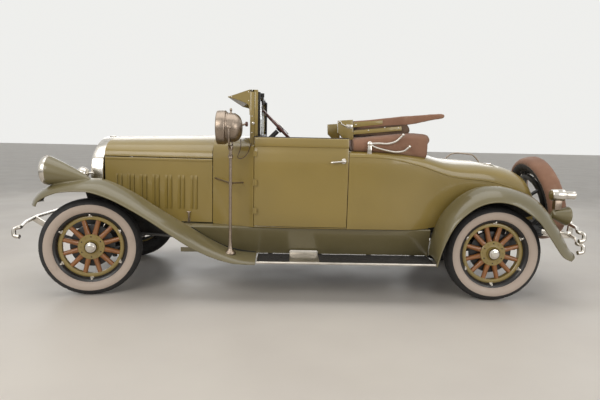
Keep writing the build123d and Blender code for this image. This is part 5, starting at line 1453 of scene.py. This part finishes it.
# cut as a strip: the tyre's way round, by the way over its tread and both shoulders
shape = Shape()
for (u, r), mark, thick in ((COVER[0], 0, 4.2), (COVER[-1], 0, 3.6)):
    hem = []
    for k in range(145):
        a = 2 * math.pi * (k % 144) / 144
        wave = 1.2 * math.sin(a * 36)
        hem.append(SPARE @ Vector(((u + wave * 0.6) * MM, (r + wave) * MM * math.cos(a),
                (r + wave) * MM * math.sin(a))))
    shape.tube(hem, thick * MM, 0, 8, caps=False)
shape.make("spare_cover_hem", [WHITEWALL], slot="canvas")
shape = Shape()
shape.lathe([(-50, 291), (-56, 303), (-60, 304), (-61, 300), (-52, 286), (-44, 281), (-30, 262),
        (-26, 256), (26, 256), (30, 262),
                   (44, 281), (52, 286), (61, 300), (60, 304), (56, 303), (50, 291)], SPARE, 96, 0,
                           closed=True)
for k in range(6):
    lug = SPARE @ Matrix.Rotation(math.radians(60 * k), 4, "X") @ Matrix.Translation((0, 0.262, 0))
    shape.slab(mm(-46, -10, -13), mm(-30, 16, 13), 1, lug)
    shape.slab(mm(30, -10, -13), mm(46, 16, 13), 1, lug)
rim = shape.make("spare_rim_dressed", [SATIN_BLACK, NICKEL], slot="black_frame", weld=False)
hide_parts("spare_rim")


# ---- lamps and horns ----

for side, hand in SIDES:
    place = Matrix.Translation(mm(0, side * LAMP_Y, LAMP_Z))
    shape = Shape()
    shape.lathe([(LAMP_X - 6, 116), (LAMP_X - 2, 121), (LAMP_X + 6, 122.5), (LAMP_X + 24, 121.5),
            (LAMP_X + 34, 119), (LAMP_X + 40, 114),
                       (LAMP_X + 42, 109), (LAMP_X + 39, 106), (LAMP_X + 30, 107)], place, 72, 0)
    shape.lathe([(LAMP_X + 30, 107), (LAMP_X + 8, 104), (LAMP_X - 20, 88), (LAMP_X - 42, 60),
            (LAMP_X - 54, 24), (LAMP_X - 56, 0.4)],
               place, 56, 1)
    shape.lathe([(LAMP_X - 54, 9), (LAMP_X - 30, 10), (LAMP_X - 20, 16), (LAMP_X - 6, 15), (LAMP_X, 8),
            (LAMP_X + 1, 0.4)], place, 24, 2)
    clip = place @ Matrix.Translation(mm(LAMP_X + 20, 0, 121))
    shape.slab(mm(-16, -8, -2), mm(16, 8, 5), 0, clip)
    shape.make(f"headlamp_{hand}_rim", [NICKEL, REFLECTOR, LENS], slot="nickel", angle=40)
    shape = Shape()
    lens = [(LAMP_X + 36, 107.5), (LAMP_X + 42, 96), (LAMP_X + 47, 76), (LAMP_X + 51, 50),
            (LAMP_X + 53, 24), (LAMP_X + 53.6, 0.4)]
    lens += [(u - 4, r) for u, r in lens[::-1]]
    rows = []
    for u, r in scaled(lens):
        ring = []
        for k in range(144):
            a = 2 * math.pi * k / 144
            y, z = r * math.cos(a), r * math.sin(a)
            flute = 0.0011 * math.cos(2 * math.pi * y / 0.013) if u > (LAMP_X + 37) * MM else 0.0
            ring.append(place @ Vector((u + flute, y, z)))
        rows.append(ring)
    shape.patch(rows, 0, around=True)
    glass = shape.make(f"headlamp_{hand}_glass", [LENS], slot="glass")
    if side > 0:
        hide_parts("headlamps")

shape = Shape()
for side, hand in SIDES:
    place = Matrix.Translation(mm(0, side * 470, 1030))
    shape.lathe(smooth([(1840, 0.5), (1841, 22), (1848, 38), (1862, 50), (1880, 55), (1902, 56),
            (1918, 48), (1930, 32), (1938, 24),
                              (1960, 23), (1982, 27), (2002, 36), (2014, 47), (2019, 54)],
                                      3) + [(2021, 55), (2020, 52), (2012, 44), (1996, 31),
                                                                                               (1970, 20),
                                                                                                       (1960, 0.5)], place, 48)
    shape.lathe([(1878, 57), (1884, 58.5), (1890, 57)], place, 48)
    shape.tube([mm(1812, side * 431, 1030), mm(1850, side * 446, 1030), mm(1876, side * 462, 1030)], 0.011)
    for k in range(6):
        bolt = place @ Matrix.Rotation(math.radians(60 * k), 4, "X") @ facing_back(1846, 30, 0)
        shape.lathe([(0, 4), (5, 3.5), (6, 0.4)], bolt, 8)
horns = shape.make("horns_dressed", [NICKEL], slot="nickel", weld=False)
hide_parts("horns")

POST_X, POST_Y, SPOT_Z = 530.0, 800.0, 1457.0
post = facing_up(POST_X, POST_Y, 0)
shape = Shape()
shape.lathe([(396, 46), (404, 47), (412, 44), (420, 34), (428, 24), (440, 20), (470, 17), (500, 14),
        (520, 13)], post, 40)
shape.lathe([(500, 13), (1204, 12.5), (1206, 18), (1209, 20.5), (1216, 19), (1223, 19), (1230, 20.5),
        (1233, 18), (1235, 13), (1270, 13),
                   (1276, 20), (1290, 22), (1304, 20), (1310, 12), (1312, 0.4)], post, 32)
shape.lathe([(984, 13), (986, 18), (1008, 18), (1010, 13)], post, 28)
yoke = smooth([(-137, SPOT_Z + 18), (-138, SPOT_Z - 20), (-134, 1380), (-112, 1326), (-60, 1296),
        (0, 1290), (60, 1296), (112, 1326), (134, 1380),
               (138, SPOT_Z - 20), (137, SPOT_Z + 18)], 5)
shape.tube([mm(POST_X, POST_Y + y, z) for y, z in yoke], 0.0085, sides=14)
for way in (1, -1):
    knob = facing_out(way, POST_X, POST_Y + way * 121, SPOT_Z)
    shape.lathe([(0, 10), (9, 10), (10, 17), (13, 18), (22, 17), (24, 12), (26, 10), (27, 0.4)], knob, 24)
for start, end in (((704, 503, 1014), (POST_X, POST_Y, 997)), ((436, 631, 990), (POST_X, POST_Y, 997))):
    shape.tube([mm(*start), mm(*[a + (b - a) * 0.5 for a, b in zip(start, end)]), mm(*end)], 0.0075,
            sides=12)
spot = Matrix.Translation(mm(0, POST_Y, SPOT_Z))
shape.lathe(smooth([(433, 0.5), (434, 30), (438, 56), (450, 84), (468, 103), (490, 114), (520, 119),
        (546, 121)], 3)
                  + [(550, 121), (551, 125), (556, 126), (561, 125), (562, 130), (566, 136), (574, 139),
                          (600, 139.5), (628, 139), (636, 137),
                     (640, 132), (640, 128), (634, 126), (628, 127)], spot, 80)
shape.lathe([(489, 116), (494, 118.5), (499, 117.5)], spot, 64)
shape.lathe([(628, 127), (600, 120), (560, 98), (530, 66), (512, 30), (508, 0.4)], spot, 56, 1)
shape.tube([mm(434, POST_Y, 1480), mm(416, POST_Y, 1486), mm(402, POST_Y, 1489)], [0.009, 0.008, 0.009])
grip = facing_up(399, POST_Y, 1468)
shape.lathe([(0, 0.4), (1, 8), (5, 11), (20, 12.5), (34, 11), (39, 8), (40, 0.4)], grip, 24, 2)
finial = facing_up(528, POST_Y, 1566)
shape.lathe([(0, 16), (8, 14), (14, 8), (24, 7), (30, 10), (38, 11), (46, 8), (50, 4), (51, 0.4)], finial,
        24)
post_lamp = shape.make("post_lamp_dressed", [AGED_NICKEL, REFLECTOR, RIM_BROWN], slot="nickel", angle=40,
        weld=False)
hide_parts("post_lamp")
shape = Shape()
shape.turn(scaled([(632, 126.5), (640, 112), (648, 84), (653, 48), (655, 0.4)])
        + scaled([(651, 0.4), (649, 48), (644, 84), (636, 112), (630, 126)]),
           spot, 72)
shape.make("post_lamp_glass", [LENS], slot="glass")

LEAD_ROUTE = [(0.447, 0.800, 1.366), (0.444, 0.800, 1.320), (0.452, 0.798, 1.268), (0.472, 0.794, 1.228),
        (0.470, 0.776, 1.204),
              (0.446, 0.748, 1.200), (0.418, 0.716, 1.216), (0.396, 0.688, 1.250), (0.382, 0.668, 1.292),
                      (0.370, 0.6566, 1.330)]
lead_curve = bpy.data.curves.new("lamp_lead_curve", "CURVE")
lead_curve.dimensions = "3D"
line = lead_curve.splines.new("NURBS")
line.points.add(len(LEAD_ROUTE) - 1)
for point, where in zip(line.points, LEAD_ROUTE):
    point.co = (*where, 1)
line.order_u = 3
line.use_endpoint_u = True
line.resolution_u = 10
lead_curve.bevel_depth = 0.003
lead_curve.bevel_resolution = 5
lead_curve.use_fill_caps = True
lead_curve.materials.append(LEAD_BRAID)
lead = bpy.data.objects.new("lamp_lead_line", lead_curve)
bpy.context.scene.collection.objects.link(lead)
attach(lead, "root")
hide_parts("lamp_lead")

shape = Shape()
for side, hand in SIDES:
    y = side * 610
    drum = Matrix.Translation(mm(0, y, 930))
    shape.lathe([(-2286, 0.4), (-2287, 24), (-2291, 44), (-2298, 50), (-2330, 52), (-2334, 54),
            (-2340, 52), (-2392, 52), (-2396, 54),
                       (-2402, 53), (-2408, 44), (-2412, 38), (-2450, 36), (-2490, 36), (-2494, 38),
                               (-2500, 37), (-2503, 32)], drum, 48, 0)
    shape.lathe([(-2500, 33), (-2504, 20), (-2505, 0.4)], drum, 32, 2)
    lean = Matrix.Translation(mm(-2318, y, 756)) @ Matrix.Rotation(math.radians(-6), 4, "Y")
    shape.lathe([(12, 0.4), (10, 20), (2, 31), (-12, 40), (-60, 60), (-118, 82), (-122, 85), (-130, 86),
            (-136, 84), (-138, 80), (-134, 77)],
               lean, 56, 1)
    shape.lathe([(-132, 78), (-142, 60), (-147, 30), (-148, 0.4)], lean, 48, 2)
    bracket = smooth([(-2262, 668), (-2296, 720), (-2330, 790), (-2346, 850), (-2350, 884)], 4)
    shape.tube([mm(x, y, z) for x, z in bracket], 0.013, 1, 14)
    shape.box((-2382, -2322), (y - side * 26, y + side * 26), (800, 882), 3)
lamps = shape.make("tail_lamps_dressed", [NICKEL, OLIVE, RED_LENS, AGED_NICKEL], slot="nickel",
        bevel=0.0012, weld=False, angle=40)
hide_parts("tail_lamps")

# a dark welt where the front fenders meet the splash aprons
# the welts take the near-black shade material: a real welt whose colour also paints the shade in the joint
# between fender and apron
shape = Shape()
for side, hand in SIDES:
    welt = smooth([(889, 591), (826, 552), (762, 509), (664, 460), (566, 419), (450, 392), (323, 377)], 4)
    shape.tube([mm(x, side * 654, z) for x, z in welt], 0.0058, sides=10)
shape.make("fender_welts", [SHADE_BLACK], slot="rubber_black")


# ---- what is left of the frame keeps its own shape ----

PLAIN = {
    "frame_rails": (FRAME_BLACK, "black_frame"), "cross_members": (FRAME_BLACK, "black_frame"),
    "leaf_springs": (FRAME_BLACK, "black_frame"), "front_axle": (FRAME_BLACK, "black_frame"),
    "rear_axle": (FRAME_BLACK, "black_frame"), "knuckle_left": (STEEL, "steel"),
            "knuckle_right": (STEEL, "steel"),
    "tie_rod": (STEEL, "steel"), "drag_link": (STEEL, "steel"), "pitman_arm": (STEEL, "steel"),
    "engine_block": (IRON, "engine_iron"), "drive_shaft": (STEEL, "steel"),
            "exhaust": (RUST, "rusty_steel"),
    "fuel_tank": (FRAME_BLACK, "black_frame"), "splash_aprons": (OLIVE, "fender_olive"),
    "steering_column": (FRAME_BLACK, "black_frame"), "spare_carrier": (FRAME_BLACK, "black_frame"),
    "front_bumper": (NICKEL, "nickel"), "rear_bumper": (NICKEL, "nickel"),
}
for node, (look, slot) in PLAIN.items():
    rounded(node, look)


# ---- floor and light ----

FLOOR = Look("pale_floor")
floor_colour = FLOOR.mix(FLOOR.ramp(FLOOR.noise(0.8, 4), 0.3, 0.7), (0.72, 0.67, 0.60), (0.66, 0.61, 0.55))
FLOOR.bump((FLOOR.noise(3, 2), 0.02, 0.002))
FLOOR.finish(floor_colour, FLOOR.ramp(FLOOR.noise(2.0, 4), 0.3, 0.7, 0.38, 0.5))
floor_mesh = bpy.data.meshes.new("floor")
REACH = 60.0
floor_mesh.from_pydata([(-REACH, -REACH, 0), (REACH, -REACH, 0), (REACH, REACH, 0), (-REACH, REACH, 0)],
        [], [(0, 1, 2, 3)])
floor_mesh.materials.append(FLOOR.material)
floor = bpy.data.objects.new("floor", floor_mesh)
bpy.context.scene.collection.objects.link(floor)
floor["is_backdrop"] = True

world = bpy.data.worlds.new("studio")
world.use_nodes = True
bpy.context.scene.world = world
tree = world.node_tree
background = tree.nodes["Background"]
background.inputs["Strength"].default_value = 1.0
path = tree.nodes.new("ShaderNodeLightPath")
seen = tree.nodes.new("ShaderNodeMath")
seen.operation = "MAXIMUM"
tree.links.new(path.outputs["Is Camera Ray"], seen.inputs[0])
both = tree.nodes.new("ShaderNodeMath")
both.operation = "MAXIMUM"
tree.links.new(path.outputs["Is Glossy Ray"], both.inputs[0])
tree.links.new(path.outputs["Is Transmission Ray"], both.inputs[1])
tree.links.new(both.outputs[0], seen.inputs[1])
blend = tree.nodes.new("ShaderNodeMix")
blend.data_type = "RGBA"
blend.inputs[6].default_value = (0.26, 0.26, 0.26, 1)
blend.inputs[7].default_value = (0.86, 0.86, 0.84, 1)
tree.links.new(seen.outputs[0], blend.inputs[0])
tree.links.new(blend.outputs[2], background.inputs["Color"])


def lamp(name, where, towards, size, power, colour=(1, 1, 1)):
    data = bpy.data.lights.new(name, "AREA")
    data.shape, data.size, data.size_y = "RECTANGLE", size[0], size[1]
    data.energy, data.color = power, colour
    light = bpy.data.objects.new(name, data)
    bpy.context.scene.collection.objects.link(light)
    light.location = where
    light.rotation_mode = "QUATERNION"
    light.rotation_quaternion = (Vector(towards) - Vector(where)).to_track_quat("-Z", "Y")


lamp("overhead", (0, 0.5, 5.5), (0, 0, 0.8), (8, 4), 150)
lamp("key", (3.5, 5.5, 4.0), (0, 0, 0.8), (4, 3), 150, (1.0, 0.97, 0.93))
lamp("fill", (-4.5, 5.0, 2.6), (0, 0, 0.8), (4, 3), 100, (0.98, 0.97, 0.96))
lamp("windows", (0, -6.5, 3.2), (0, 0, 0.9), (11, 3), 130, (0.97, 0.98, 1.0))

low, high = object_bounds()
